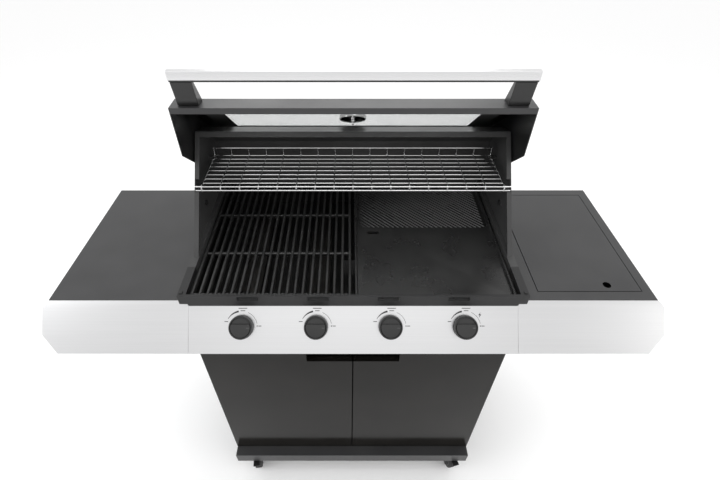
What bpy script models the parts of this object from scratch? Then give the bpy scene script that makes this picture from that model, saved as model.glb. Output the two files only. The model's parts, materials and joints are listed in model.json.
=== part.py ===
# Gas barbecue grill: a cabinet on four casters with a hooded firebox and two side shelves.
# Metres, +Z up, front towards -Y. The origin is on the floor under the middle of the object.
# The hood is modelled closed and hangs on an empty that is turned to its open position.

import bpy
import bmesh
from math import cos, hypot, pi, radians, sin
from mathutils import Matrix, Vector

# ---------------------------------------------------------------- driving sizes
BODY_WIDTH = 0.809          # cabinet and control panel, outside
SHELF_WIDTH = 0.3455        # each side shelf, cabinet to outer edge
SHELF_DEPTH = 0.463         # side shelves, front edge to back edge
SHELF_HEIGHT = 0.893        # top of the side shelves above the floor
SHELF_FRONT = -0.216        # y of the front edge of the shelves
SHEET = 0.0015              # folded sheet of the cabinet, shelves and panels
HEAVY_SHEET = 0.002         # firebox and hood sheet
GAP = 0.0003                # between pieces that touch
PLAY = 0.0005               # round a pin in its hole

# shelves
SHELF_SKIRT = 0.036
INSERT_INNER_EDGE = 0.0595
INSERT_OUTER_EDGE = 0.026
INSERT_FRONT_EDGE = 0.030
INSERT_BACK_EDGE = 0.028
INSERT_GAP = 0.0015
INSERT_LEDGE = 0.012
INSERT_RIM = 0.010
INSERT_WELL = 0.018         # depth of the pan under the lift-out panel
FINGER_HOLE = 0.020         # diameter
FINGER_HOLE_INSET = (0.078, 0.021)

# control panel and fascias, y from the shelf front and z from the shelf top
FOLD = (-0.013, -0.012)
PANEL_FOOT = (-0.090, -0.095)
PANEL_CURL = 0.009
PANEL_RETURN = 0.086
FASCIA_FLARE = 0.014
FASCIA_CHAMFER = 0.0385
FASCIA_CHAMFER_START = 0.59  # of the slope, from the fold
KNOB_PITCH = 0.1825
KNOB_COUNT = 4
KNOB_DOWN_SLOPE = 0.416     # of the slope, from the fold
KNOB_RADIUS = 0.0295
KNOB_HEIGHT = 0.0135
KNOB_EDGE = 0.002
KNOB_STANDOFF = 0.0036
KNOB_PUSH = 0.003
STEM_RADIUS = 0.004
STEM_REACH = 0.009
PLUG_RADIUS = 0.0065
VALVE_RADIUS = 0.012
VALVE_LENGTH = 0.043
JET_GAP = 0.002
JET_RADIUS = 0.003
MANIFOLD_RADIUS = 0.009
MANIFOLD_OFFSET = 0.0245    # from the valve axes
MANIFOLD_DEPTH = 0.030      # behind the panel
MANIFOLD_BORE = 0.0055
MANIFOLD_PAST_VALVE = 0.030
MANIFOLD_END_GAP = 0.018    # to the side panel
INLET_RADIUS = 0.013
INLET_NUT = 0.020
INLET_BORE_DEPTH = 0.030
INLET_CLEARANCE = 0.004     # round the inlet in the side panel
SADDLE_RADIUS = 0.006

# firebox, its front lip and the cooking surfaces
LIP_FORWARD = 0.012
LIP_HEIGHT = 0.029          # rail top above the shelf top
LIP_DROP = 0.0055           # lip bottom below the shelf top
LIP_THICKNESS = 0.0062
LIP_ARM = 0.098             # length of the lip's two arms
LIP_SLOT_COUNT = 4
LIP_SLOT_RISE = 0.004       # above the middle of the lip
LIP_SLOT = (0.051, 0.012)
LIP_SLOT_PITCH = 0.170
RAIL_WIDTH = 0.0205
BUMPER_RADIUS = 0.0055
BUMPER_PROUD = 0.0025
BUMPER_STEM = (0.0025, 0.006)
BUMPER_FROM_FRONT = 0.0125
FIREBOX_BACK = 0.015        # inside of the firebox behind the back of the shelves
COOKTOP_LEDGE_DROP = 0.0275  # below the rail top
FIREBOX_TOP_DEPTH = 0.0105  # height of the rim above the cooktop ledge
LEDGE = 0.014               # width of the cooktop ledge
TAMER_LEDGE = 0.013
TAMER_LEDGE_DROP = 0.046
FIREBOX_WALL = 0.046        # height of the walls under the tamer ledge
FIREBOX_SUMP = 0.035        # further drop of the floor to its middle
DRAIN = (0.07, 0.06)
COOKTOP_THICKNESS = 0.016
COOKTOP_CLEARANCE = 0.002
COOKTOP_SPLIT_GAP = 0.010
GRILL_BARS = 21
GRILL_BAR = 0.007
GRILL_CROSSBARS = (0.1577, 0.3216)   # from the front of the grill
GRILL_CROSSBAR = 0.012
PLATE_RIM = 0.006
PLATE_THICKNESS = 0.006
PLATE_SLOT = (0.034, 0.011)
PLATE_SLOT_PLACE = (0.036, 0.2405)   # from the plate's inner front corner
BURNER_RADIUS = 0.0125
BURNER_WALL = 0.0015
BURNER_END = 0.004
BURNER_NOSE = 0.018         # in front of the firebox
TAMER_WIDTH = 0.060
TAMER_HEIGHT = 0.022
TAMER_COUNT = 2

# cowl (fixed) and hood (pivoting), measured from the pivot where given as a pair
PIVOT_FROM_BACK = 0.173
PIVOT_ABOVE_RAIL = 0.052
HOOD_OPEN = 90.0
COWL_SIDE = 0.0065          # cowl side plate, inside the edge of the rail
COWL_FOOT = (0.0365, -0.052)  # y behind the lip's arms, z from the pivot
COWL_TOP_ANGLE = 72.5
COWL_TOP_INSET = 0.012
COWL_ROOF_ANGLE = 53.3
COWL_SHOULDER = 0.086
COWL_BEHIND_FIREBOX = 0.0025
COWL_FLANGE = 0.012
COWL_TOP_FLANGE = 0.015
HOOD_INSET = 0.001          # hood sides, in from the rails
HOOD_CLEARANCE = 0.022      # between the swept hood and the cowl roof
HOOD_FORWARD = 0.003        # hood face in front of the lip
HOOD_LIP = 0.0512
HOOD_HEM = 0.015
HOOD_CROWN = (-0.113, 0.232)
HOOD_REAR = 0.108
HOOD_ARM_RADIUS = 0.028
HOOD_MOUTH = 0.125          # length of the side walls' bottom edge
HOOD_ARM_TOP = (-0.113, 0.024)
HOOD_ARM_BACK = 0.041
HOOD_EAR = 0.024
BOLT_RADIUS = 0.004
BOLT_HEAD = (0.008, 0.004)
WINDOW_SIDE = 0.077
WINDOW_BOTTOM = 0.030
WINDOW_TOP = 0.032
GLASS_OVERLAP = 0.012
GLASS_THICKNESS = 0.004
FRAME_BORDER = 0.030
FRAME_INSIDE = 0.008
THERMOMETER_RADIUS = 0.0375
THERMOMETER_DEPTH = 0.014
THERMOMETER_STEM = 0.0045
THERMOMETER_PROBE = 0.012
THERMOMETER_UP = 0.634      # of the slope, from the top of the hood's lip
HANDLE_DEPTH = 0.025        # with the hood closed
HANDLE_HEIGHT = 0.014
HANDLE_EDGE = 0.003         # radius of its long edges
HANDLE_SIDE = 0.016         # handle ends, in from the hood sides
HANDLE_REACH = 0.0715       # handle centre in front of the hood face
HANDLE_RISE = 0.0075        # handle centre above the hood's bottom edge
BRACKET_WIDTH = 0.0485
BRACKET_INSET = 0.003
BRACKET_FOOT = (0.012, 0.046)
BRACKET_SEAT = 0.006

# warming rack, from the pivot
RACK_FRONT = -0.046
RACK_BACK = 0.1145
RACK_RISE = 0.086
RACK_WIRE = 0.004
RACK_SIDE = 0.0175          # in from the cowl side plate
RACK_LONG_WIRES = 5
RACK_CROSS_WIRES = 17
RACK_UPSTAND = 0.025
RACK_HOOK_DROP = 0.012
RACK_LIFT = 0.012
RACK_PEG = 0.008

# cabinet
BASE_HEIGHT = 0.0456
BASE_FRONT = -0.073         # from the shelf front
BASE_RIM = 0.075            # width of the base's bottom flange
CABINET_FRONT = -0.018      # from the shelf front
CABINET_BACK = 0.003        # from the shelf back
BASE_BEHIND = 0.007         # base behind the cabinet
FLANGE = 0.020
DOOR_THICKNESS = 0.018
DOOR_GAP = 0.003
DOOR_SETBACK = 0.006
DOOR_TOP_DROP = 0.133       # below the shelf top
DOOR_CUT = (0.1245, 0.071)
DOOR_PIN_INSET = 0.0095
DOOR_PIN_RADIUS = 0.003
DOOR_PIN_LENGTH = 0.008
HEADER_HEIGHT = 0.042
HEADER_DEPTH = 0.020
TRAY_HEIGHT = 0.036
TRAY_DROP = 0.016           # below the firebox
TRAY_SIDE = 0.030
TRAY_FRONT = 0.045
TRAY_RIM = 0.008
TRAY_LEDGE = 0.004
TRAY_BACK_GAP = 0.004
TRAY_PULL = (0.060, 0.018, 0.003)  # half its width, its reach and its thickness

# casters
CASTER_OVER_WHEEL = 0.025   # base underside above the top of the wheels
CASTER_SIDE = 0.0545        # swivel axis in from the cabinet side
CASTER_FRONT = 0.067        # swivel axes in from the front and back of the base
CASTER_BACK = 0.067
WHEEL_RADIUS = 0.0375
WHEEL_WIDTH = 0.024
WHEEL_BORE = 0.0045
FORK_TRAIL = 0.028
FORK_PLATE = 0.0025
FORK_SIDE_GAP = 0.0015
FORK_HALF_WIDTH = 0.011
FORK_BELOW_AXLE = 0.010
FORK_CROWN = 0.006          # above the top of the wheel
FORK_CROWN_REACH = (0.016, 0.020)  # before and behind the swivel
FORK_ROOF = 0.004
RACE_HEIGHT = 0.007
AXLE_PROUD = 0.002
HUB_RADIUS = (0.012, 0.014)
TYRE = (0.009, 0.007)       # width of its side, at the foot and at the face
WHEEL_DISH = 0.003
WHEEL_EDGE = 0.002
SWIVEL_STEM = (0.0055, 0.016)
LEVER_LENGTH = 0.042
LEVER_GAP = 0.0007
CASTER_TURNS = (8.0, 15.0, 0.0, 0.0)  # how far each stands turned on its swivel
LEVER_WIDTH = 0.022
LEVER_THICKNESS = 0.003
LEVER_TIP = (0.012, 0.003)  # length and rise
LEVER_RISE = 0.0065         # above the fork crown

# ---------------------------------------------------------------- places worked out from the sizes
half_body = BODY_WIDTH / 2
half_width = half_body + SHELF_WIDTH
shelf_back = SHELF_FRONT + SHELF_DEPTH
lip_front = SHELF_FRONT - LIP_FORWARD
rail_top = SHELF_HEIGHT + LIP_HEIGHT
rail_outer = half_body + RAIL_WIDTH - SHEET
firebox_half = half_body - SHEET - PLAY
firebox_front = lip_front + LIP_THICKNESS + GAP
firebox_back = shelf_back + FIREBOX_BACK
ledge_top = rail_top - COOKTOP_LEDGE_DROP
firebox_top = ledge_top + FIREBOX_TOP_DEPTH
tamer_ledge = ledge_top - TAMER_LEDGE_DROP
floor_edge = tamer_ledge - FIREBOX_WALL
firebox_bottom = floor_edge - FIREBOX_SUMP
fold = (SHELF_FRONT + FOLD[0], SHELF_HEIGHT + FOLD[1])
panel_foot = (SHELF_FRONT + PANEL_FOOT[0], SHELF_HEIGHT + PANEL_FOOT[1])
panel_bottom = panel_foot[1] - PANEL_CURL
slope = Vector((0, panel_foot[0] - fold[0], panel_foot[1] - fold[1]))
panel_normal = Vector((0, slope.z, -slope.y)).normalized()
knob_y = fold[0] + KNOB_DOWN_SLOPE * slope.y
knob_z = fold[1] + KNOB_DOWN_SLOPE * slope.z
pivot = Vector((0, shelf_back - PIVOT_FROM_BACK, rail_top + PIVOT_ABOVE_RAIL))
hood_front = lip_front - HOOD_FORWARD
hood_bottom = rail_top + BUMPER_PROUD + GAP
hood_shoulder = (hood_front, hood_bottom + HOOD_LIP)
hood_crown = (pivot.y + HOOD_CROWN[0], pivot.z + HOOD_CROWN[1])
hood_rear = pivot.y + HOOD_REAR
hood_half = rail_outer - HOOD_INSET
hood_slope = Vector((0, hood_crown[0] - hood_shoulder[0], hood_crown[1] - hood_shoulder[1]))
hood_slope_length = hood_slope.length
slope_along = hood_slope.normalized()
slope_out = Vector((0, -slope_along.z, slope_along.y))
slope_distance = slope_out.dot(Vector((0, hood_shoulder[0] - pivot.y, hood_shoulder[1] - pivot.z)))
cowl_radius = min(slope_distance, HOOD_CROWN[1]) - HOOD_CLEARANCE
cowl_half = rail_outer - COWL_SIDE
cowl_back = firebox_back + HEAVY_SHEET + COWL_BEHIND_FIREBOX + SHEET
cooktop_front = firebox_front + HEAVY_SHEET + COOKTOP_CLEARANCE
cooktop_back = firebox_back - COOKTOP_CLEARANCE
cooktop_half = firebox_half - HEAVY_SHEET - COOKTOP_CLEARANCE
cooktop_bottom = ledge_top + GAP
caster_height = 2 * WHEEL_RADIUS + CASTER_OVER_WHEEL
base_top = caster_height + BASE_HEIGHT
base_front = SHELF_FRONT + BASE_FRONT
cabinet_front = SHELF_FRONT + CABINET_FRONT
cabinet_back = shelf_back + CABINET_BACK
base_back = cabinet_back + BASE_BEHIND
door_back = cabinet_front - DOOR_SETBACK
door_front = door_back - DOOR_THICKNESS
door_top = SHELF_HEIGHT - DOOR_TOP_DROP
door_bottom = base_top + DOOR_GAP
pin_x = half_body - DOOR_PIN_INSET
pin_y = (door_front + door_back) / 2
header_top = panel_bottom - GAP
header_bottom = header_top - HEADER_HEIGHT
tray_top = firebox_bottom - TRAY_DROP
tray_bottom = tray_top - TRAY_HEIGHT
tray_half = half_body - TRAY_SIDE
knob_places = [(i - (KNOB_COUNT - 1) / 2) * KNOB_PITCH for i in range(KNOB_COUNT)]


# ---------------------------------------------------------------- materials and mesh helpers
def clear_scene():
    for item in list(bpy.data.objects):
        bpy.data.objects.remove(item, do_unlink=True)


def material(name, colour, roughness, metallic):
    made = bpy.data.materials.new(name)
    made.use_nodes = True
    shader = made.node_tree.nodes["Principled BSDF"]
    shader.inputs["Base Color"].default_value = (*colour, 1)
    shader.inputs["Roughness"].default_value = roughness
    shader.inputs["Metallic"].default_value = metallic
    return made


clear_scene()
DARK_PAINT = material("dark_paint", (0.07, 0.07, 0.07), 0.45, 0.0)
GLOSS_ENAMEL = material("gloss_enamel", (0.03, 0.028, 0.026), 0.12, 0.0)
STAINLESS = material("stainless", (0.75, 0.75, 0.75), 0.28, 1.0)
CAST_IRON = material("cast_iron", (0.04, 0.04, 0.04), 0.5, 0.2)
CHROME = material("chrome", (0.8, 0.8, 0.8), 0.08, 1.0)
BLACK_PLASTIC = material("black_plastic", (0.02, 0.02, 0.02), 0.4, 0.0)
RUBBER = material("rubber", (0.03, 0.03, 0.03), 0.8, 0.0)
BRASS = material("brass", (0.7, 0.5, 0.2), 0.3, 1.0)
ALUMINISED = material("aluminised_steel", (0.45, 0.45, 0.45), 0.45, 1.0)
WINDOW_GLASS = material("window_glass", (0.6, 0.62, 0.62), 0.02, 0.0)


def add_mesh(name, points, faces, surface):
    mesh = bpy.data.meshes.new(name)
    mesh.from_pydata([tuple(p) for p in points], [], faces)
    work = bmesh.new()
    work.from_mesh(mesh)
    bmesh.ops.remove_doubles(work, verts=work.verts, dist=1e-6)
    bmesh.ops.recalc_face_normals(work, faces=work.faces)
    work.to_mesh(mesh)
    work.free()
    made = bpy.data.objects.new(name, mesh)
    made.data.materials.append(surface)
    bpy.context.scene.collection.objects.link(made)
    return made


def prism(name, outline, axis, low, high, surface):
    # outline is (y, z) for axis X, (x, z) for axis Y and (x, y) for axis Z
    def at(point, along):
        if axis == "X":
            return (along, point[0], point[1])
        if axis == "Y":
            return (point[0], along, point[1])
        return (point[0], point[1], along)

    count = len(outline)
    points = [at(p, low) for p in outline] + [at(p, high) for p in outline]
    faces = [tuple(range(count)), tuple(range(count, 2 * count))]
    for i in range(count):
        j = (i + 1) % count
        faces.append((i, j, count + j, count + i))
    return add_mesh(name, points, faces, surface)


def block(name, low, high, surface):
    outline = [(low[0], low[1]), (high[0], low[1]), (high[0], high[1]), (low[0], high[1])]
    return prism(name, outline, "Z", low[2], high[2], surface)


def turned(name, profile, place, direction, surface, segments=24):
    # profile is (radius, height) from the bottom; it starts and ends at radius 0, or closes on itself
    turn = Vector(direction).to_track_quat("Z", "Y").to_matrix().to_4x4()
    frame = Matrix.Translation(place) @ turn
    points = []
    rings = []
    for radius, height in profile:
        if radius == 0:
            rings.append([len(points)])
            points.append(frame @ Vector((0, 0, height)))
            continue
        rings.append(list(range(len(points), len(points) + segments)))
        for i in range(segments):
            angle = 2 * pi * i / segments
            points.append(frame @ Vector((radius * cos(angle), radius * sin(angle), height)))
    closed = profile[0][0] != 0
    faces = []
    for k in range(len(rings) if closed else len(rings) - 1):
        a, b = rings[k], rings[(k + 1) % len(rings)]
        for i in range(segments):
            j = (i + 1) % segments
            face = [a[i % len(a)], a[j % len(a)], b[j % len(b)], b[i % len(b)]]
            faces.append(tuple(dict.fromkeys(face)))
    made = add_mesh(name, points, faces, surface)
    made.data.shade_smooth()
    made.data.set_sharp_from_angle(angle=radians(35))
    return made


def rod(name, start, end, radius, surface, segments=16):
    reach = Vector(end) - Vector(start)
    profile = [(0, 0), (radius, 0), (radius, reach.length), (0, reach.length)]
    return turned(name, profile, start, reach, surface, segments)


def lattice(name, xs, ys, is_open, low, high, surface):
    # flat grid of cells between the lines xs and ys, with the cells of is_open left out
    def solid(i, j):
        return 0 <= i < len(xs) - 1 and 0 <= j < len(ys) - 1 and not is_open(i, j)

    points = []
    faces = []

    def face(*corners):
        faces.append(tuple(range(len(points), len(points) + len(corners))))
        points.extend(corners)

    for i in range(len(xs) - 1):
        for j in range(len(ys) - 1):
            if not solid(i, j):
                continue
            x0, x1, y0, y1 = xs[i], xs[i + 1], ys[j], ys[j + 1]
            face((x0, y0, high), (x1, y0, high), (x1, y1, high), (x0, y1, high))
            face((x0, y1, low), (x1, y1, low), (x1, y0, low), (x0, y0, low))
            sides = (((-1, 0), (x0, y1), (x0, y0)), ((1, 0), (x1, y0), (x1, y1)),
                     ((0, -1), (x0, y0), (x1, y0)), ((0, 1), (x1, y1), (x0, y1)))
            for step, a, b in sides:
                if not solid(i + step[0], j + step[1]):
                    face((*a, low), (*b, low), (*b, high), (*a, high))
    return add_mesh(name, points, faces, surface)


def hull(name, points, surface):
    work = bmesh.new()
    for point in points:
        work.verts.new(point)
    found = bmesh.ops.convex_hull(work, input=work.verts)
    loose = set(found["geom_interior"] + found["geom_unused"])
    bmesh.ops.delete(work, geom=[v for v in loose if isinstance(v, bmesh.types.BMVert)], context="VERTS")
    mesh = bpy.data.meshes.new(name)
    work.to_mesh(mesh)
    work.free()
    made = bpy.data.objects.new(name, mesh)
    made.data.materials.append(surface)
    bpy.context.scene.collection.objects.link(made)
    return made


def boolean(target, tool, operation):
    tool.hide_render = True
    tool.display_type = "WIRE"
    step = target.modifiers.new(tool.name, "BOOLEAN")
    step.object = tool
    step.operation = operation
    step.solver = "EXACT"


def cut(target, *tools):
    for tool in tools:
        boolean(target, tool, "DIFFERENCE")


def weld(target, *tools):
    for tool in tools:
        boolean(target, tool, "UNION")


def sheet(path, thickness):
    # closed outline of a folded sheet whose outer face follows the path, thickness to its right
    inner = []
    for i, point in enumerate(path):
        before = path[i - 1] if i > 0 else None
        after = path[i + 1] if i + 1 < len(path) else None
        sides = []
        for a, b in ((before, point), (point, after)):
            if a is not None and b is not None:
                length = hypot(b[0] - a[0], b[1] - a[1])
                sides.append(((b[1] - a[1]) / length, -(b[0] - a[0]) / length))
        if len(sides) == 1:
            offset = (sides[0][0] * thickness, sides[0][1] * thickness)
        else:
            share = 1 + sides[0][0] * sides[1][0] + sides[0][1] * sides[1][1]
            offset = tuple((sides[0][k] + sides[1][k]) * thickness / share for k in (0, 1))
        inner.append((point[0] + offset[0], point[1] + offset[1]))
    return list(path) + inner[::-1]


def rounded(centre, half, radius, steps=4):
    # outline of a rectangle whose corners are quarter circles
    points = []
    for k, (a, b) in enumerate(((1, 1), (-1, 1), (-1, -1), (1, -1))):
        for i in range(steps + 1):
            angle = pi / 2 * (k + i / steps)
            points.append((centre[0] + a * (half[0] - radius) + radius * cos(angle),
                           centre[1] + b * (half[1] - radius) + radius * sin(angle)))
    return points


def pivot_empty(name, place, turn=None):
    made = bpy.data.objects.new(name, None)
    made.empty_display_size = 0.03
    made.location = place
    if turn is not None:
        made.rotation_euler = turn
    bpy.context.scene.collection.objects.link(made)
    return made


def hang(empty, *nodes):
    # pieces keep their modelled place when the empty is unturned, and turn with it
    away = Matrix.Translation(empty.location).inverted()
    for node in nodes:
        for item in [node] + [step.object for step in node.modifiers if step.type == "BOOLEAN"]:
            item.parent = empty
            item.matrix_parent_inverse = away


def on_panel(x, outward):
    # point on a knob's axis, this far outside the control panel
    return Vector((x, knob_y, knob_z)) + panel_normal * outward


def on_slope(x, up, outward):
    # point on the closed hood's sloping panel, from its lower edge, this far outside it
    return Vector((x, hood_shoulder[0], hood_shoulder[1])) + slope_along * up + slope_out * outward


def slope_block(name, half_x, low_up, high_up, low_out, high_out, surface):
    ends = [(low_up, low_out), (high_up, low_out), (high_up, high_out), (low_up, high_out)]
    outline = [on_slope(0, up, out).yz for up, out in ends]
    return prism(name, outline, "X", -half_x, half_x, surface)


# ---------------------------------------------------------------- cabinet
caster_places = [(side * (half_body - CASTER_SIDE), y, trail)
                 for y, trail in ((base_front + CASTER_FRONT, -1), (base_back - CASTER_BACK, 1))
                 for side in (-1, 1)]
header_y = (cabinet_front, cabinet_front + HEADER_DEPTH)
inside_body = half_body - SHEET - GAP


def make_base_shelf():
    shelf = block("base_shelf", (-half_body, base_front, caster_height),
                  (half_body, base_back, base_top), DARK_PAINT)
    inset = (half_body - BASE_RIM, base_front + BASE_RIM, base_back - BASE_RIM)
    cut(shelf, block("base_opening", (-inset[0], inset[1], caster_height - 0.01),
                     (inset[0], inset[2], caster_height + BASE_HEIGHT / 2), DARK_PAINT))
    cut(shelf, block("base_inside", (-half_body + SHEET, base_front + SHEET, caster_height + SHEET),
                     (half_body - SHEET, base_back - SHEET, base_top - SHEET), DARK_PAINT))
    for i, (x, y, _) in enumerate(caster_places):
        cut(shelf, rod(f"stem_hole_{i}", (x, y, caster_height - 0.01), (x, y, caster_height + 0.01),
                       SWIVEL_STEM[0] + PLAY, RUBBER))
    for side in (-1, 1):
        cut(shelf, rod(f"base_pin_hole_{side}", (side * pin_x, pin_y, base_top - 0.01),
                       (side * pin_x, pin_y, base_top + 0.01), DOOR_PIN_RADIUS + PLAY, RUBBER))


def make_side_panel(name, side):
    foot = base_top + GAP
    step = SHELF_FRONT + 0.004
    outline = [(cabinet_front, foot), (cabinet_back, foot), (cabinet_back, SHELF_HEIGHT),
               (step, SHELF_HEIGHT), (step, header_top), (cabinet_front, header_top)]
    xs = sorted((side * half_body, side * (half_body - SHEET)))
    panel = prism(name, outline, "X", xs[0], xs[1], DARK_PAINT)
    flange_x = sorted((side * (half_body - SHEET / 2), side * (half_body - FLANGE)))
    for edge, y in (("front", cabinet_front), ("back", cabinet_back - SHEET)):
        top = header_bottom - GAP if edge == "front" else tray_bottom - FLANGE
        weld(panel, block(f"{name}_{edge}_flange", (flange_x[0], y + 0.0001, foot + 0.0001),
                          (flange_x[1], y + SHEET - 0.0001, top), DARK_PAINT))
    ledge_x = sorted((side * (half_body - SHEET / 2), side * (tray_half - TRAY_RIM + PLAY * 2)))
    ledge_z = tray_top - SHEET - GAP
    weld(panel, block(f"{name}_runner", (ledge_x[0], cabinet_front + TRAY_FRONT, ledge_z - TRAY_LEDGE),
                      (ledge_x[1], cabinet_back - FLANGE, ledge_z), DARK_PAINT))
    if side > 0:
        hose = manifold_centre()
        cut(panel, rod("hose_hole", (half_body - 0.02, hose.y, hose.z),
                       (half_body + 0.02, hose.y, hose.z), INLET_RADIUS + INLET_CLEARANCE, RUBBER))


def make_back_panel():
    y = cabinet_back - SHEET - GAP
    block("back_panel", (-inside_body, y - SHEET, base_top + GAP),
          (inside_body, y, tray_bottom - FLANGE), DARK_PAINT)


def make_header_rail():
    rail = block("header_rail", (-inside_body, header_y[0], header_bottom),
                 (inside_body, header_y[1], header_top), DARK_PAINT)
    low = door_top + DOOR_GAP
    for side in (-1, 1):
        xs = sorted((side * (pin_x - 0.010), side * (inside_body - 0.001)))
        tab = block(f"hinge_tab_{side}", (xs[0], pin_y - 0.007, low),
                    (xs[1], header_y[0] + 0.004, low + 2 * SHEET), DARK_PAINT)
        weld(rail, tab)
        cut(rail, rod(f"header_pin_hole_{side}", (side * pin_x, pin_y, low - 0.01),
                      (side * pin_x, pin_y, low + 0.01), DOOR_PIN_RADIUS + PLAY, RUBBER))


def make_door(name, side):
    seam = DOOR_GAP / 2
    hinge_edge = half_body
    cut_x = DOOR_CUT[0]
    cut_z = door_top - DOOR_CUT[1]

    def outline(inset):
        corners = [(seam + inset, door_bottom + inset), (hinge_edge - inset, door_bottom + inset),
                   (hinge_edge - inset, door_top - inset), (cut_x + inset, door_top - inset),
                   (cut_x + inset, cut_z - inset), (seam + inset, cut_z - inset)]
        return [(side * x, z) for x, z in corners]

    door = prism(name, outline(0), "Y", door_front, door_back, GLOSS_ENAMEL)
    cut(door, prism(f"{name}_inside", outline(SHEET), "Y", door_front + SHEET,
                    door_back + 0.01, GLOSS_ENAMEL))
    for end, z in (("bottom", door_bottom), ("top", door_top)):
        outward = -1 if end == "bottom" else 1
        start = z - outward * 0.006
        reach = z + outward * DOOR_PIN_LENGTH
        weld(door, rod(f"{name}_{end}_pin", (side * pin_x, pin_y, start),
                       (side * pin_x, pin_y, reach), DOOR_PIN_RADIUS, GLOSS_ENAMEL, 12))
    hang(pivot_empty(f"{name}_pivot", (side * pin_x, pin_y, door_bottom)), door)


def make_drip_tray():
    front = cabinet_front + TRAY_FRONT
    back = cabinet_back - TRAY_BACK_GAP
    wall = SHEET
    outline = [(front, tray_bottom), (back, tray_bottom), (back, tray_top), (front, tray_top)]
    tray = prism("drip_tray", outline, "X", -tray_half, tray_half, ALUMINISED)
    for side in (-1, 1):
        xs = sorted((side * (tray_half - TRAY_RIM), side * (tray_half + 0.01)))
        cut(tray, block(f"tray_rim_cut_{side}", (xs[0], front - 0.01, tray_bottom - 0.01),
                        (xs[1], back + 0.01, tray_top - wall), ALUMINISED))
    inner = tray_half - TRAY_RIM - wall
    cut(tray, block("tray_inside", (-inner, front + wall, tray_bottom + wall),
                    (inner, back - wall, tray_top + 0.01), ALUMINISED))
    half_pull, reach, thickness = TRAY_PULL
    weld(tray, block("tray_pull", (-half_pull, back - wall / 2, tray_top - 2 * thickness),
                     (half_pull, back + reach, tray_top - thickness), ALUMINISED))
    hang(pivot_empty("drip_tray_slide", (0, front, tray_bottom)), tray)


# ---------------------------------------------------------------- shelves and fascias
insert_low = (half_body + INSERT_INNER_EDGE, SHELF_FRONT + INSERT_FRONT_EDGE)
insert_high = (half_width - INSERT_OUTER_EDGE, shelf_back - INSERT_BACK_EDGE)


def make_shelf(name, side):
    inner = half_body + GAP
    bottom = SHELF_HEIGHT - SHELF_SKIRT
    xs = sorted((side * inner, side * half_width))
    front = SHELF_FRONT + GAP
    shelf = block(name, (xs[0], front, bottom), (xs[1], shelf_back, SHELF_HEIGHT), DARK_PAINT)
    cut(shelf, block(f"{name}_inside", (xs[0] + SHEET, front + SHEET, bottom - 0.01),
                     (xs[1] - SHEET, shelf_back - SHEET, SHELF_HEIGHT - SHEET), DARK_PAINT))
    if side < 0:
        return
    (x0, y0), (x1, y1) = insert_low, insert_high
    edge = INSERT_GAP
    floor = SHELF_HEIGHT - INSERT_RIM - SHEET - GAP
    weld(shelf, block("insert_frame", (x0 - edge - SHEET, y0 - edge - SHEET, floor - SHEET),
                      (x1 + edge + SHEET, y1 + edge + SHEET, SHELF_HEIGHT - SHEET / 2), DARK_PAINT))
    pan_floor = floor - INSERT_WELL
    pan_side = INSERT_LEDGE - SHEET
    weld(shelf, block("insert_pan", (x0 + pan_side, y0 + pan_side, pan_floor - SHEET),
                      (x1 - pan_side, y1 - pan_side, floor - SHEET / 2), DARK_PAINT))
    cut(shelf, block("insert_seat", (x0 - edge, y0 - edge, floor),
                     (x1 + edge, y1 + edge, SHELF_HEIGHT + 0.01), DARK_PAINT))
    cut(shelf, block("insert_well", (x0 + INSERT_LEDGE, y0 + INSERT_LEDGE, pan_floor),
                     (x1 - INSERT_LEDGE, y1 - INSERT_LEDGE, SHELF_HEIGHT + 0.01), DARK_PAINT))


def make_shelf_insert():
    (x0, y0), (x1, y1) = insert_low, insert_high
    bottom = SHELF_HEIGHT - INSERT_RIM - SHEET
    lid = block("shelf_insert", (x0, y0, bottom), (x1, y1, SHELF_HEIGHT), DARK_PAINT)
    cut(lid, block("insert_inside", (x0 + SHEET, y0 + SHEET, bottom - 0.01),
                   (x1 - SHEET, y1 - SHEET, SHELF_HEIGHT - SHEET), DARK_PAINT))
    hole = (x1 - FINGER_HOLE_INSET[0], y0 + FINGER_HOLE_INSET[1])
    cut(lid, rod("finger_hole", (*hole, SHELF_HEIGHT - 0.01), (*hole, SHELF_HEIGHT + 0.01),
                 FINGER_HOLE / 2, RUBBER, 24))
    hang(pivot_empty("shelf_insert_slide", (x0, y0, bottom)), lid)


def make_control_panel():
    top_y = firebox_front - 0.001
    share = (top_y - fold[0]) / (SHELF_FRONT - fold[0])
    top = (top_y, fold[1] + share * (SHELF_HEIGHT - fold[1]))
    path = [(panel_foot[0] + PANEL_RETURN, panel_bottom), (panel_foot[0] + PANEL_CURL, panel_bottom),
            panel_foot, fold, top]
    panel = prism("control_panel", sheet(path, SHEET), "X", -half_body, half_body, STAINLESS)
    for i, x in enumerate(knob_places):
        cut(panel, rod(f"knob_hole_{i}", on_panel(x, -0.01), on_panel(x, 0.01),
                       PLUG_RADIUS, RUBBER))


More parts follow.
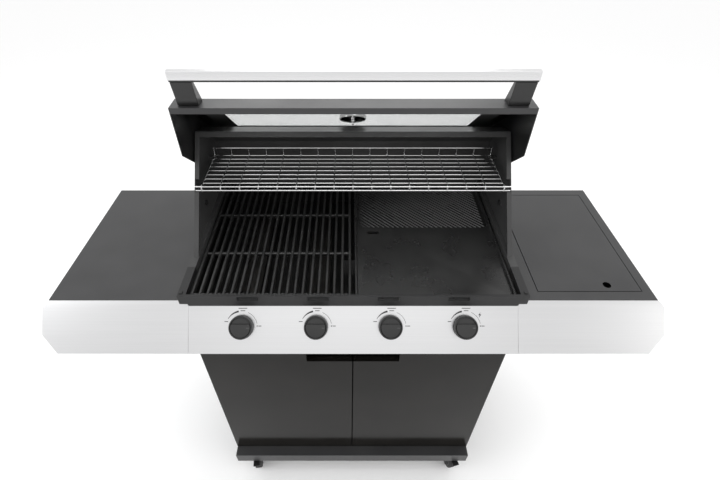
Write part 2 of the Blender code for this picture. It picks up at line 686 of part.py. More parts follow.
def make_fascia(name, side):
    back = SHELF_FRONT
    inner_x = half_body + GAP
    level = fold[0] + FASCIA_CHAMFER_START * slope.y, fold[1] + FASCIA_CHAMFER_START * slope.z
    foot_x = half_width + FASCIA_FLARE - FASCIA_CHAMFER
    outer = [(half_width, SHELF_FRONT, SHELF_HEIGHT), (half_width + FASCIA_FLARE, *fold),
             (half_width + FASCIA_FLARE, *level), (foot_x, *panel_foot),
             (foot_x, panel_foot[0] + PANEL_CURL, panel_bottom), (foot_x, back, panel_bottom),
             (half_width + FASCIA_FLARE, back, fold[1]), (half_width + FASCIA_FLARE, back, level[1])]
    inner = [(inner_x, SHELF_FRONT, SHELF_HEIGHT), (inner_x, *fold), (inner_x, *panel_foot),
             (inner_x, panel_foot[0] + PANEL_CURL, panel_bottom), (inner_x, back, panel_bottom)]
    shell = hull(name, [(side * x, y, z) for x, y, z in outer + inner], STAINLESS)
    centre = Vector((inner_x, back, (SHELF_HEIGHT + panel_bottom) / 2))
    deep = 0.03
    hollow = []
    for x, y, z in outer + inner:
        end = x - SHEET if x > inner_x else x - deep
        if y == back:
            y = back + deep
        else:
            y = y + SHEET * 1.5
        z = z - SHEET if z > centre.z else z + SHEET
        hollow.append((side * end, y, z))
    cut(shell, hull(f"{name}_inside", hollow, STAINLESS))


# ---------------------------------------------------------------- gas train
def manifold_centre():
    return on_panel(0, -MANIFOLD_DEPTH) + slope.normalized() * MANIFOLD_OFFSET


def jet_start(x):
    return on_panel(x, -(SHEET + GAP + VALVE_LENGTH - 0.008))


burner_z = jet_start(0).z
firebox_low_front = firebox_front + HEAVY_SHEET + LEDGE + TAMER_LEDGE
firebox_low_back = firebox_back - LEDGE - TAMER_LEDGE
burner_mouth = firebox_low_front - HEAVY_SHEET - BURNER_NOSE


def make_manifold():
    centre = manifold_centre()
    left = knob_places[0] - MANIFOLD_PAST_VALVE
    reach = inside_body - MANIFOLD_END_GAP - left
    nut = reach - INLET_NUT
    profile = [(0, reach - INLET_BORE_DEPTH), (MANIFOLD_BORE, reach - INLET_BORE_DEPTH),
               (MANIFOLD_BORE, reach), (INLET_RADIUS, reach), (INLET_RADIUS, nut), (MANIFOLD_RADIUS, nut),
               (MANIFOLD_RADIUS, 0), (0, 0)]
    turned("gas_manifold", profile[::-1], (left, centre.y, centre.z), (1, 0, 0), ALUMINISED, 18)


def make_valve(number, x):
    near = SHEET + GAP
    far = near + VALVE_LENGTH
    bore = PLUG_RADIUS + GAP
    bore_depth = far - 0.010
    profile = [(0, -far), (VALVE_RADIUS, -far), (VALVE_RADIUS, -near), (bore, -near),
               (bore, -bore_depth), (0, -bore_depth)]
    valve = turned(f"gas_valve_{number}", profile, on_panel(x, 0), panel_normal, BRASS)
    start = jet_start(x)
    weld(valve, rod(f"jet_{number}", start, (x, burner_mouth - JET_GAP, start.z), JET_RADIUS, BRASS, 12))
    down_slope = slope.normalized()
    saddle = on_panel(x, -MANIFOLD_DEPTH)
    away = VALVE_RADIUS - 0.003
    weld(valve, rod(f"saddle_{number}", saddle + down_slope * away,
                    saddle + down_slope * (MANIFOLD_OFFSET - MANIFOLD_RADIUS - GAP), SADDLE_RADIUS, BRASS, 12))
    axis = pivot_empty(f"knob_axis_{number}", on_panel(x, 0))
    inner = near + 0.001
    plug_profile = [(0, -(bore_depth - 0.001)), (PLUG_RADIUS, -(bore_depth - 0.001)),
                    (PLUG_RADIUS, -inner), (STEM_RADIUS, -inner), (STEM_RADIUS, STEM_REACH),
                    (0, STEM_REACH)]
    plug = turned(f"valve_spindle_{number}", plug_profile, on_panel(x, 0), panel_normal, BRASS, 16)
    hang(axis, plug)
    base = KNOB_STANDOFF
    top = base + KNOB_HEIGHT
    socket = STEM_REACH + KNOB_PUSH + 0.001
    knob_profile = [(0, socket), (STEM_RADIUS + GAP, socket), (STEM_RADIUS + GAP, base),
                    (KNOB_RADIUS, base), (KNOB_RADIUS - KNOB_EDGE / 2, top - KNOB_EDGE),
                    (KNOB_RADIUS - 3 * KNOB_EDGE / 2, top), (0, top)]
    knob = turned(f"knob_{number}", knob_profile, on_panel(x, 0), panel_normal, BLACK_PLASTIC)
    hang(axis, knob)


def make_burner(number, x):
    length = firebox_low_back - GAP - burner_mouth
    bore = BURNER_RADIUS - BURNER_WALL
    profile = [(0, length - BURNER_END), (bore, length - BURNER_END), (bore, 0), (BURNER_RADIUS, 0),
               (BURNER_RADIUS, length), (0, length)]
    turned(f"burner_{number}", profile, (x, burner_mouth, burner_z), (0, 1, 0), STAINLESS, 18)


def make_flame_tamer(number, x):
    low = tamer_ledge + SHEET + GAP
    path = [(x - TAMER_WIDTH / 2, low), (x, low + TAMER_HEIGHT), (x + TAMER_WIDTH / 2, low)]
    front = firebox_low_front - TAMER_LEDGE + GAP
    prism(f"flame_tamer_{number}", sheet(path, SHEET), "Y", front,
          firebox_low_back + TAMER_LEDGE - GAP, STAINLESS)


# ---------------------------------------------------------------- firebox and cooking surfaces
def make_firebox():
    wall = HEAVY_SHEET
    front = firebox_front + wall
    back = firebox_back
    middle = (firebox_low_front + firebox_low_back) / 2
    half_drain = DRAIN[1] / 2 + 0.012
    path = [(front, firebox_top), (front, ledge_top), (front + LEDGE, ledge_top),
            (front + LEDGE, tamer_ledge), (firebox_low_front, tamer_ledge),
            (firebox_low_front, floor_edge), (middle - half_drain, firebox_bottom),
            (middle + half_drain, firebox_bottom), (firebox_low_back, floor_edge),
            (firebox_low_back, tamer_ledge), (back - LEDGE, tamer_ledge), (back - LEDGE, ledge_top),
            (back, ledge_top), (back, firebox_top)]
    outside = sheet(path, wall)[len(path):][::-1]
    box = prism("firebox", outside, "X", -firebox_half, firebox_half, CAST_IRON)
    inside = [(front, firebox_top + 0.02)] + path + [(back, firebox_top + 0.02)]
    cut(box, prism("firebox_inside", inside, "X", -firebox_half + wall, firebox_half - wall, CAST_IRON))
    cut(box, block("drain", (-DRAIN[0] / 2, middle - DRAIN[1] / 2, firebox_bottom - 0.01),
                   (DRAIN[0] / 2, middle + DRAIN[1] / 2, firebox_bottom + 0.01), CAST_IRON))
    for i, x in enumerate(knob_places):
        cut(box, rod(f"burner_hole_{i}", (x, firebox_low_front - 0.012, burner_z),
                     (x, firebox_low_front + 0.008, burner_z), BURNER_RADIUS + GAP, RUBBER, 18))


def make_front_lip():
    inner = half_body - SHEET + GAP
    bottom = SHELF_HEIGHT + GAP
    back = lip_front + LIP_THICKNESS
    arm = lip_front + LIP_ARM
    outline = [(-rail_outer, lip_front), (rail_outer, lip_front), (rail_outer, arm), (inner, arm),
               (inner, back), (-inner, back), (-inner, arm), (-rail_outer, arm)]
    lip = prism("firebox_front_lip", outline, "Z", bottom, rail_top, DARK_PAINT)
    half_apron = half_body - PLAY
    weld(lip, block("lip_apron", (-half_apron, lip_front + 0.0001, SHELF_HEIGHT - LIP_DROP),
                    (half_apron, back - 0.0001, bottom + 0.006), DARK_PAINT))
    centre_z = (bottom + rail_top) / 2 + LIP_SLOT_RISE
    for i in range(LIP_SLOT_COUNT):
        x = (i - (LIP_SLOT_COUNT - 1) / 2) * LIP_SLOT_PITCH
        cut(lip, block(f"lip_slot_{i}", (x - LIP_SLOT[0] / 2, lip_front - 0.01, centre_z - LIP_SLOT[1] / 2),
                       (x + LIP_SLOT[0] / 2, back + 0.01, centre_z + LIP_SLOT[1] / 2), DARK_PAINT))
    bumper_y = lip_front + BUMPER_FROM_FRONT
    stem, depth = BUMPER_STEM
    for name, side in (("left", -1), ("right", 1)):
        x = side * (rail_outer - BUMPER_RADIUS - 0.001)
        cut(lip, rod(f"bumper_hole_{name}", (x, bumper_y, rail_top - depth - 0.001),
                     (x, bumper_y, rail_top + 0.01), stem + GAP, RUBBER, 12))
        profile = [(0, -depth), (stem, -depth), (stem, GAP), (BUMPER_RADIUS, GAP),
                   (BUMPER_RADIUS, BUMPER_PROUD - 0.0006), (BUMPER_RADIUS - 0.0006, BUMPER_PROUD),
                   (0, BUMPER_PROUD)]
        turned(f"hood_bumper_{name}", profile, (x, bumper_y, rail_top), (0, 0, 1), RUBBER, 16)


def spread(low, high, count, width):
    # edges of evenly spaced bars, the outer two flush with low and high
    pitch = (high - low - width) / (count - 1)
    return [low + i * pitch + offset for i in range(count) for offset in (0, width)]


def make_grill():
    x0, x1 = -cooktop_half, -COOKTOP_SPLIT_GAP / 2
    xs = spread(x0, x1, GRILL_BARS, GRILL_BAR)
    front = cooktop_front
    ys = [front, front + GRILL_CROSSBAR]
    for centre in GRILL_CROSSBARS:
        ys += [front + centre - GRILL_CROSSBAR / 2, front + centre + GRILL_CROSSBAR / 2]
    ys += [cooktop_back - GRILL_CROSSBAR, cooktop_back]
    grill = lattice("cooking_grill", xs, ys, lambda i, j: i % 2 == 1 and j % 2 == 1,
                    cooktop_bottom, cooktop_bottom + COOKTOP_THICKNESS, CAST_IRON)
    hang(pivot_empty("grill_slide", (x0, front, cooktop_bottom)), grill)


def make_hotplate():
    x0, x1 = COOKTOP_SPLIT_GAP / 2, cooktop_half
    top = cooktop_bottom + COOKTOP_THICKNESS
    plate = block("hotplate", (x0, cooktop_front, cooktop_bottom), (x1, cooktop_back, top), CAST_IRON)
    cut(plate, block("plate_dish", (x0 + PLATE_RIM, cooktop_front + PLATE_RIM, cooktop_bottom + PLATE_THICKNESS),
                     (x1 - PLATE_RIM, cooktop_back - PLATE_RIM, top + 0.01), CAST_IRON))
    slot_x = x0 + PLATE_SLOT_PLACE[0]
    slot_y = cooktop_front + PLATE_SLOT_PLACE[1]
    cut(plate, block("plate_slot", (slot_x, slot_y, cooktop_bottom - 0.01),
                     (slot_x + PLATE_SLOT[0], slot_y + PLATE_SLOT[1], top), CAST_IRON))
    hang(pivot_empty("hotplate_slide", (x0, cooktop_front, cooktop_bottom)), plate)


# ---------------------------------------------------------------- cowl, warming rack and hood
def polar(radius, degrees):
    return (pivot.y + radius * cos(radians(degrees)), pivot.z + radius * sin(radians(degrees)))


cowl_foot = (lip_front + LIP_ARM + COWL_FOOT[0], pivot.z + COWL_FOOT[1])
cowl_top = polar(cowl_radius - COWL_TOP_INSET, COWL_TOP_ANGLE)
cowl_lean = Vector((0, cowl_top[0] - cowl_foot[0], cowl_top[1] - cowl_foot[1])).normalized()


def on_cowl(along, inward):
    # point of the cowl's leaning front, from its foot, this far inside it
    return (cowl_foot[0] + cowl_lean.y * along + cowl_lean.z * inward,
            cowl_foot[1] + cowl_lean.z * along - cowl_lean.y * inward)


def make_cowl():
    bottom = SHELF_HEIGHT + GAP
    embed = rail_top - 0.001
    roof = [cowl_top, polar(cowl_radius, COWL_ROOF_ANGLE), (cowl_back, pivot.z + COWL_SHOULDER)]
    outside = [on_cowl(-0.0005, 0)] + roof + [(cowl_back, bottom), (cowl_back - 0.012, bottom),
                                              (cowl_back - 0.012, embed), (cowl_foot[0] + 0.002, embed)]
    cowl = prism("cowl", outside, "X", -cowl_half, cowl_half, GLOSS_ENAMEL)
    path = [on_cowl(-0.05, 0)] + roof + [(cowl_back, bottom - 0.05)]
    inside = sheet(path, SHEET)[len(path):]
    half_inside = cowl_half - SHEET
    cut(cowl, prism("cowl_inside", inside, "X", -half_inside, half_inside, GLOSS_ENAMEL))
    height = hypot(cowl_top[0] - cowl_foot[0], cowl_top[1] - cowl_foot[1])
    mouth = [on_cowl(-0.05, -0.02), on_cowl(-0.05, 0.02), on_cowl(height - COWL_TOP_FLANGE, 0.02),
             on_cowl(height - COWL_TOP_FLANGE, -0.02)]
    half_mouth = cowl_half - COWL_FLANGE
    cut(cowl, prism("cowl_mouth", mouth, "X", -half_mouth, half_mouth, GLOSS_ENAMEL))
    rack_z = pivot.z + RACK_RISE
    hook_y = pivot.y + RACK_FRONT
    hook_z = rack_z - RACK_HOOK_DROP
    for side in (-1, 1):
        xs = sorted((side * (half_body - SHEET + GAP), side * rail_outer))
        weld(cowl, block(f"cowl_rail_{side}", (xs[0], lip_front + LIP_ARM + GAP, bottom),
                         (xs[1], cowl_back - 0.0002, rail_top), DARK_PAINT))
        peg_x = sorted((side * (cowl_half - SHEET / 2), side * (cowl_half - RACK_SIDE - RACK_PEG)))
        peg_y = pivot.y + RACK_BACK
        peg_top = rack_z - RACK_WIRE / 2 - GAP
        weld(cowl, block(f"rack_peg_{side}", (peg_x[0], peg_y - RACK_PEG, peg_top - RACK_PEG),
                         (peg_x[1], peg_y, peg_top), GLOSS_ENAMEL))
        notch_x = sorted((side * (half_mouth - 0.01), side * (half_inside - 0.0002)))
        cut(cowl, block(f"rack_notch_{side}", (notch_x[0], hook_y - 0.03, hook_z - RACK_WIRE / 2 - GAP),
                        (notch_x[1], hook_y + 0.02, rack_z + RACK_WIRE / 2 + RACK_LIFT + GAP),
                        GLOSS_ENAMEL))
    cut(cowl, rod("cowl_bolt_hole", (-half_width, pivot.y, pivot.z), (half_width, pivot.y, pivot.z),
                  BOLT_RADIUS + PLAY, RUBBER))


def make_hood_bolt(name, side):
    inside = cowl_half - SHEET - GAP
    outside = hood_half + GAP
    nut = BOLT_HEAD[1]
    profile = [(0, inside - nut), (BOLT_HEAD[0], inside - nut), (BOLT_HEAD[0], inside),
               (BOLT_RADIUS, inside), (BOLT_RADIUS, outside), (BOLT_HEAD[0], outside),
               (BOLT_HEAD[0], outside + 0.003), (BOLT_HEAD[0] - 0.002, outside + BOLT_HEAD[1]),
               (0, outside + BOLT_HEAD[1])]
    turned(name, profile, (0, pivot.y, pivot.z), (side, 0, 0), STAINLESS, 16)


def make_warming_rack():
    half = cowl_half - RACK_SIDE
    z = pivot.z + RACK_RISE
    wire = RACK_WIRE
    hook_y = pivot.y + RACK_FRONT
    hook_z = z - RACK_HOOK_DROP
    back = pivot.y + RACK_BACK
    xs = spread(-half, half, RACK_CROSS_WIRES, wire)
    ys = spread(hook_y - wire / 2, back, RACK_LONG_WIRES, wire)
    rack = lattice("warming_rack", xs, ys, lambda i, j: i % 2 == 1 and j % 2 == 1,
                   z - wire / 2, z + wire / 2, CHROME)
    reach = cowl_half - SHEET - 0.001
    inset = 0.0002
    for row, level in (("upper", z), ("lower", hook_z)):
        weld(rack, block(f"rack_{row}_wire", (-reach, hook_y - wire / 2 + inset, level - wire / 2 + inset),
                         (reach, hook_y + wire / 2 - inset, level + wire / 2 - inset), CHROME))
    weld(rack, block("rack_back_wire", (-half + inset, back - wire + inset, z + RACK_UPSTAND - wire),
                     (half - inset, back - inset, z + RACK_UPSTAND), CHROME))
    for side in (-1, 1):
        xs = sorted((side * (half - 2 * inset), side * (half - wire + 2 * inset)))
        weld(rack, block(f"rack_riser_{side}", (xs[0], back - wire + 2 * inset, z),
                         (xs[1], back - 2 * inset, z + RACK_UPSTAND - wire / 2), CHROME))
        weld(rack, block(f"rack_drop_{side}", (xs[0], hook_y - wire / 2 + 2 * inset, hook_z),
                         (xs[1], hook_y + wire / 2 - 2 * inset, z), CHROME))
    hang(pivot_empty("warming_rack_slide", (0, hook_y, hook_z)), rack)


def make_hood():
    wall = HEAVY_SHEET
    hinge = pivot_empty("hood_pivot", pivot, (radians(-HOOD_OPEN), 0, 0))
    crown_z = hood_crown[1]
    arm_back = pivot.y + HOOD_ARM_BACK
    arc = [polar(HOOD_ARM_RADIUS, -15 * i) for i in range(10)]
    outside = [(hood_front, hood_bottom), hood_shoulder, hood_crown, (hood_rear, crown_z),
               (hood_rear, crown_z - HOOD_EAR), (arm_back, crown_z - HOOD_EAR - 0.010),
               (arm_back, pivot.z + 0.025)] + arc
    outside += [(pivot.y + HOOD_ARM_TOP[0], pivot.z + HOOD_ARM_TOP[1]),
                (hood_front + HOOD_MOUTH, hood_bottom)]
    shell = prism("hood_shell", outside, "X", -hood_half, hood_half, DARK_PAINT)
    path = [(hood_front + HOOD_HEM, hood_bottom), (hood_front, hood_bottom), hood_shoulder, hood_crown,
            (hood_rear + 0.05, crown_z)]
    inside = sheet(path, wall)[len(path):][::-1]
    inside += [(hood_rear + 0.05, pivot.z - 0.1), (hood_front + HOOD_HEM, pivot.z - 0.1)]
    cut(shell, prism("hood_inside", inside, "X", -hood_half + wall, hood_half - wall, DARK_PAINT))
    half_window = hood_half - WINDOW_SIDE
    window_top = hood_slope_length - WINDOW_TOP
    cut(shell, slope_block("window_cut", half_window, WINDOW_BOTTOM, window_top, -0.02, 0.02, DARK_PAINT))
    cut(shell, rod("hood_bolt_hole", (-half_width, pivot.y, pivot.z), (half_width, pivot.y, pivot.z),
                   BOLT_RADIUS + PLAY, RUBBER))

    over = GLASS_OVERLAP
    face = -wall - GAP
    glass = slope_block("hood_window", half_window + over, WINDOW_BOTTOM - over, window_top + over,
                        face - GLASS_THICKNESS, face, WINDOW_GLASS)
    dial = on_slope(0, THERMOMETER_UP * hood_slope_length, 0)
    cut(glass, rod("thermometer_hole", dial - slope_out * 0.02, dial + slope_out * 0.02,
                   THERMOMETER_STEM + PLAY, RUBBER))

    back = face - GLASS_THICKNESS - GAP
    border = over + FRAME_BORDER
    frame = slope_block("window_frame", half_window + border, WINDOW_BOTTOM - over - 0.006,
                        window_top + over + 0.006, back - SHEET, face, GLOSS_ENAMEL)
    cut(frame, slope_block("frame_pocket", half_window + over + PLAY, WINDOW_BOTTOM - over - PLAY,
                           window_top + over + PLAY, back, face + 0.01, GLOSS_ENAMEL))
    cut(frame, slope_block("frame_opening", half_window - FRAME_INSIDE, WINDOW_BOTTOM + FRAME_INSIDE,
                           window_top - FRAME_INSIDE, back - 0.01, back + 0.01, GLOSS_ENAMEL))

    front = face + GAP
    profile = [(0, back - THERMOMETER_PROBE), (0.003, back - THERMOMETER_PROBE), (0.003, back - 0.006),
               (0.009, back - 0.006), (0.009, back), (THERMOMETER_STEM, back), (THERMOMETER_STEM, front),
               (THERMOMETER_RADIUS, front), (THERMOMETER_RADIUS, front + THERMOMETER_DEPTH - 0.003),
               (THERMOMETER_RADIUS - 0.003, front + THERMOMETER_DEPTH), (0, front + THERMOMETER_DEPTH)]
    dial_body = turned("thermometer", profile, dial, slope_out, STAINLESS, 32)
    hang(hinge, shell, glass, frame, dial_body)
    make_handle(hinge)


def make_handle(hinge):
    y = hood_front - HANDLE_REACH
    z = hood_bottom + HANDLE_RISE
    half = hood_half - HANDLE_SIDE
    bar = prism("hood_handle", rounded((y, z), (HANDLE_DEPTH / 2, HANDLE_HEIGHT / 2), HANDLE_EDGE),
                "X", -half, half, STAINLESS)
    seat = y + HANDLE_DEPTH / 2 + GAP
    hang(hinge, bar)
    for name, side in (("left", -1), ("right", 1)):
        outer = side * (half - BRACKET_INSET)
        xs = sorted((outer, outer - side * BRACKET_WIDTH))
        foot = (hood_bottom + BRACKET_FOOT[0], hood_bottom + BRACKET_FOOT[1])
        outline = [(hood_front - GAP, foot[0]), (hood_front - GAP, foot[1]),
                   (seat, z + BRACKET_SEAT), (seat, z - BRACKET_SEAT)]
        hang(hinge, prism(f"handle_bracket_{name}", outline, "X", xs[0], xs[1], BLACK_PLASTIC))


# ---------------------------------------------------------------- casters
def make_caster(name, x, y, trail, turn, braked):
    swivel = pivot_empty(f"{name}_swivel", (x, y, caster_height), (0, 0, radians(turn)))
    axle_y = y + trail * FORK_TRAIL
    axle_z = WHEEL_RADIUS
    top = caster_height - GAP
    inner = WHEEL_WIDTH / 2 + FORK_SIDE_GAP
    outer = inner + FORK_PLATE
    crown_low = 2 * WHEEL_RADIUS + FORK_CROWN
    crown_top = top - FORK_ROOF
    near = y - trail * FORK_CROWN_REACH[0]
    far = axle_y + trail * FORK_HALF_WIDTH
    foot = axle_z - FORK_BELOW_AXLE
    ys = sorted((near, far))
    outline = [(near, crown_top), (near, crown_low), (axle_y - trail * FORK_HALF_WIDTH, foot),
               (far, foot), (far, crown_low), (y + trail * FORK_CROWN_REACH[1], crown_top)]
    fork = prism(f"{name}_fork", outline, "X", x - outer, x + outer, ALUMINISED)
    cut(fork, block(f"{name}_fork_slot", (x - inner, ys[0] - 0.03, 0),
                    (x + inner, ys[1] + 0.03, crown_low + FORK_ROOF), ALUMINISED))
    weld(fork, rod(f"{name}_race", (x, y, top - RACE_HEIGHT), (x, y, top), outer, ALUMINISED, 20))
    weld(fork, rod(f"{name}_stem", (x, y, top - 0.002), (x, y, top + SWIVEL_STEM[1]),
                   SWIVEL_STEM[0], ALUMINISED, 12))
    axle_half = outer + AXLE_PROUD
    weld(fork, rod(f"{name}_axle", (x - axle_half, axle_y, axle_z), (x + axle_half, axle_y, axle_z),
                   WHEEL_BORE - PLAY, ALUMINISED, 12))
    half = WHEEL_WIDTH / 2
    face = [(WHEEL_BORE, half), (HUB_RADIUS[0], half), (HUB_RADIUS[1], half - WHEEL_DISH),
            (WHEEL_RADIUS - TYRE[0], half - WHEEL_DISH), (WHEEL_RADIUS - TYRE[1], half),
            (WHEEL_RADIUS - WHEEL_EDGE, half), (WHEEL_RADIUS, half - WHEEL_EDGE)]
    profile = [(radius, -height) for radius, height in face] + face[::-1]
    wheel = turned(f"{name}_wheel", profile, (x, axle_y, axle_z), (1, 0, 0), RUBBER, 28)
    hang(swivel, fork)
    spin = pivot_empty(f"{name}_axle_centre", (x, axle_y, axle_z))
    hang(spin, wheel)
    hang(swivel, spin)
    if not braked:
        return
    hinge_y = axle_y + trail * (FORK_HALF_WIDTH + LEVER_GAP)
    tip = hinge_y + trail * LEVER_LENGTH
    z = crown_low + LEVER_RISE
    half = LEVER_THICKNESS / 2
    bend = tip - trail * LEVER_TIP[0]
    tip_z = z + LEVER_TIP[1]
    lever_outline = [(hinge_y, z - half), (hinge_y, z + half), (bend, z + half), (tip, tip_z),
                     (tip, tip_z - LEVER_THICKNESS), (bend, z - half)]
    lever = prism(f"{name}_brake_lever", lever_outline, "X", x - LEVER_WIDTH / 2, x + LEVER_WIDTH / 2,
                  BLACK_PLASTIC)
    brake = pivot_empty(f"{name}_brake_pivot", (x, hinge_y, z))
    hang(brake, lever)
    hang(swivel, brake)


# ---------------------------------------------------------------- the whole object
def make_all():
    make_base_shelf()
    make_side_panel("side_panel_left", -1)
    make_side_panel("side_panel_right", 1)
    make_back_panel()
    make_header_rail()
    make_door("door_left", -1)
    make_door("door_right", 1)
    make_drip_tray()
    make_shelf("shelf_left", -1)
    make_shelf("shelf_right", 1)
    make_shelf_insert()
    make_control_panel()
    make_fascia("fascia_left", -1)
    make_fascia("fascia_right", 1)
    make_manifold()
    for i, x in enumerate(knob_places):
        make_valve(i + 1, x)
        make_burner(i + 1, x)
    for i in range(TAMER_COUNT):
        make_flame_tamer(i + 1, knob_places[i])
    make_firebox()
    make_front_lip()
    make_grill()
    make_hotplate()
    make_cowl()
    make_hood_bolt("hood_bolt_left", -1)
    make_hood_bolt("hood_bolt_right", 1)
    make_warming_rack()
    make_hood()
    names = ("caster_front_left", "caster_front_right", "caster_back_left", "caster_back_right")
    for name, (x, y, trail), turn in zip(names, caster_places, CASTER_TURNS):
        make_caster(name, x, y, trail, turn, braked="front" in name)


make_all()
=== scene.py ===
# Looks of the gas barbecue grill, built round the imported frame. Metres, +Z up, front towards -Y.
import json
import bmesh
import bpy
import numpy as np
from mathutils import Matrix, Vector


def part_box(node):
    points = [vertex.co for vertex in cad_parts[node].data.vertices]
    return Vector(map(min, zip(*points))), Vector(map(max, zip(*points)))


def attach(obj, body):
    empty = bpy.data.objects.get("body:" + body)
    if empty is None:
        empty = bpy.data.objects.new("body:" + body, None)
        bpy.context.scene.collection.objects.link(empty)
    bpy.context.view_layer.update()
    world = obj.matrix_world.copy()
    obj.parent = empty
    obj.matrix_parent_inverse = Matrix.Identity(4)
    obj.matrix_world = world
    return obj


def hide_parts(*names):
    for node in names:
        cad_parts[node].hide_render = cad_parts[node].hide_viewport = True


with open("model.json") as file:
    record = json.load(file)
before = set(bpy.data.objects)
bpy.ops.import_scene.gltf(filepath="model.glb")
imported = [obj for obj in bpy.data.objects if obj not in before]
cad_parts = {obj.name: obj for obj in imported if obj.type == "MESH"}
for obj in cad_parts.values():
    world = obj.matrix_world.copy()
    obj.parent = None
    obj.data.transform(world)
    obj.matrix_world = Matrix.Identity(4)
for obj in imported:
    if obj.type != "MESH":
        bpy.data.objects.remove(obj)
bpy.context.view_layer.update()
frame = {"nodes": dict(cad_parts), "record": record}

record = frame["record"]
nodes = frame["nodes"]
bodyOfNode = {node: body for body, names in record["behaviour"]["bodies"].items() for node in names}
slotOfNode = {row["node"]: row["material_slot"] for row in record["subparts"]}
jointOf = {joint["name"]: joint for joint in record["behaviour"]["joints"]}
print("frame loaded:", len(nodes), "nodes")

# ---- camera, lights and floor
studio = {
    "cameraPlace": (-0.0105, -0.908, 1.7182), "cameraTilt": 47.9, "lens": 21.7, "shift": 0.0153,
    "worldTone": (1.0, 1.0, 1.0), "worldPower": 1.0,
    "floorTone": (0.97, 0.97, 0.97), "floorHalf": 14.0,
}


def buildStudio(s):
    scene = bpy.context.scene
    scene.view_settings.view_transform = "Standard"
    cameraData = bpy.data.cameras.new("photoView")
    cameraData.lens = s["lens"]
    cameraData.sensor_width = 36
    cameraData.shift_x = s["shift"]
    cameraData.clip_start = 0.02
    camera = bpy.data.objects.new("photoView", cameraData)
    camera.location = s["cameraPlace"]
    camera.rotation_euler = (np.radians(s["cameraTilt"]), 0, 0)
    scene.collection.objects.link(camera)
    scene.camera = camera
    world = bpy.data.worlds.new("softRoom")
    world.use_nodes = True
    background = world.node_tree.nodes["Background"]
    background.inputs["Color"].default_value = (*s["worldTone"], 1)
    background.inputs["Strength"].default_value = s["worldPower"]
    scene.world = world
    # each light: name, place, aim, size, watts, tone
    lights = [
        ("overhead", (0.1, 0.2, 3.4), (0, 0, 0.9), (2.6, 1.6), 26, (1, 1, 1)),
        ("leftWindow", (-2.6, -0.9, 2.1), (0, 0, 0.8), (1.6, 1.8), 20, (0.98, 0.99, 1)),
        ("rightFill", (2.7, -1.4, 1.5), (0, 0, 0.8), (1.4, 1.4), 10, (1, 0.99, 0.97)),
        ("behind", (0, 2.6, 2.3), (0, 0, 0.8), (2.4, 1.2), 18, (1, 1, 1)),
        ("frontHigh", (0, -2.4, 2.5), (0, 0.1, 1.1), (2.2, 0.9), 3, (1, 1, 1)),
    ]
    for name, place, aim, size, watts, tone in lights:
        data = bpy.data.lights.new(name, "AREA")
        data.shape = "RECTANGLE"
        data.size, data.size_y = size
        data.energy = watts
        data.color = tone
        lamp = bpy.data.objects.new(name, data)
        lamp.location = place
        lamp.rotation_euler = (Vector(aim) - Vector(place)).to_track_quat("-Z", "Y").to_euler()
        scene.collection.objects.link(lamp)
    half = s["floorHalf"]
    mesh = bpy.data.meshes.new("studioFloor")
    mesh.from_pydata([(-half, -half, 0), (half, -half, 0), (half, half, 0), (-half, half, 0)], [],
                     [(0, 1, 2, 3)])
    floor = bpy.data.objects.new("studioFloor", mesh)
    scene.collection.objects.link(floor)
    material = bpy.data.materials.new("paleFloor")
    material.use_nodes = True
    shader = material.node_tree.nodes["Principled BSDF"]
    shader.inputs["Base Color"].default_value = (*s["floorTone"], 1)
    shader.inputs["Roughness"].default_value = 0.7
    mesh.materials.append(material)


buildStudio(studio)
print("studio ready")


# ---- finishes
def newFinish(name):
    material = bpy.data.materials.new(name)
    material.use_nodes = True
    tree = material.node_tree
    return material, tree, tree.nodes["Principled BSDF"]


def objectPattern(tree, stretch, detail=4.0, scale=1.0):
    # noise on object coordinates, stretched by a mapping
    place = tree.nodes.new("ShaderNodeTexCoord")
    mapping = tree.nodes.new("ShaderNodeMapping")
    mapping.inputs["Scale"].default_value = stretch
    noise = tree.nodes.new("ShaderNodeTexNoise")
    noise.inputs["Scale"].default_value = scale
    noise.inputs["Detail"].default_value = detail
    tree.links.new(place.outputs["Object"], mapping.inputs["Vector"])
    tree.links.new(mapping.outputs["Vector"], noise.inputs["Vector"])
    return noise.outputs["Fac"]


def spreadTone(tree, source, low, high, socket):
    # colour between two tones as the pattern goes from its lower to its upper third
    ramp = tree.nodes.new("ShaderNodeValToRGB")
    ramp.color_ramp.elements[0].position = 0.34
    ramp.color_ramp.elements[1].position = 0.66
    ramp.color_ramp.elements[0].color = (*low, 1)
    ramp.color_ramp.elements[1].color = (*high, 1)
    tree.links.new(source, ramp.inputs["Fac"])
    tree.links.new(ramp.outputs["Color"], socket)


def spreadValue(tree, source, low, high, socket):
    span = tree.nodes.new("ShaderNodeMapRange")
    span.inputs["From Min"].default_value = 0.3
    span.inputs["From Max"].default_value = 0.7
    span.inputs["To Min"].default_value = low
    span.inputs["To Max"].default_value = high
    tree.links.new(source, span.inputs["Value"])
    tree.links.new(span.outputs["Result"], socket)


def addBump(tree, source, height, shader, strength=1.0):
    bump = tree.nodes.new("ShaderNodeBump")
    bump.inputs["Distance"].default_value = height
    bump.inputs["Strength"].default_value = strength
    tree.links.new(source, bump.inputs["Height"])
    tree.links.new(bump.outputs["Normal"], shader.inputs["Normal"])


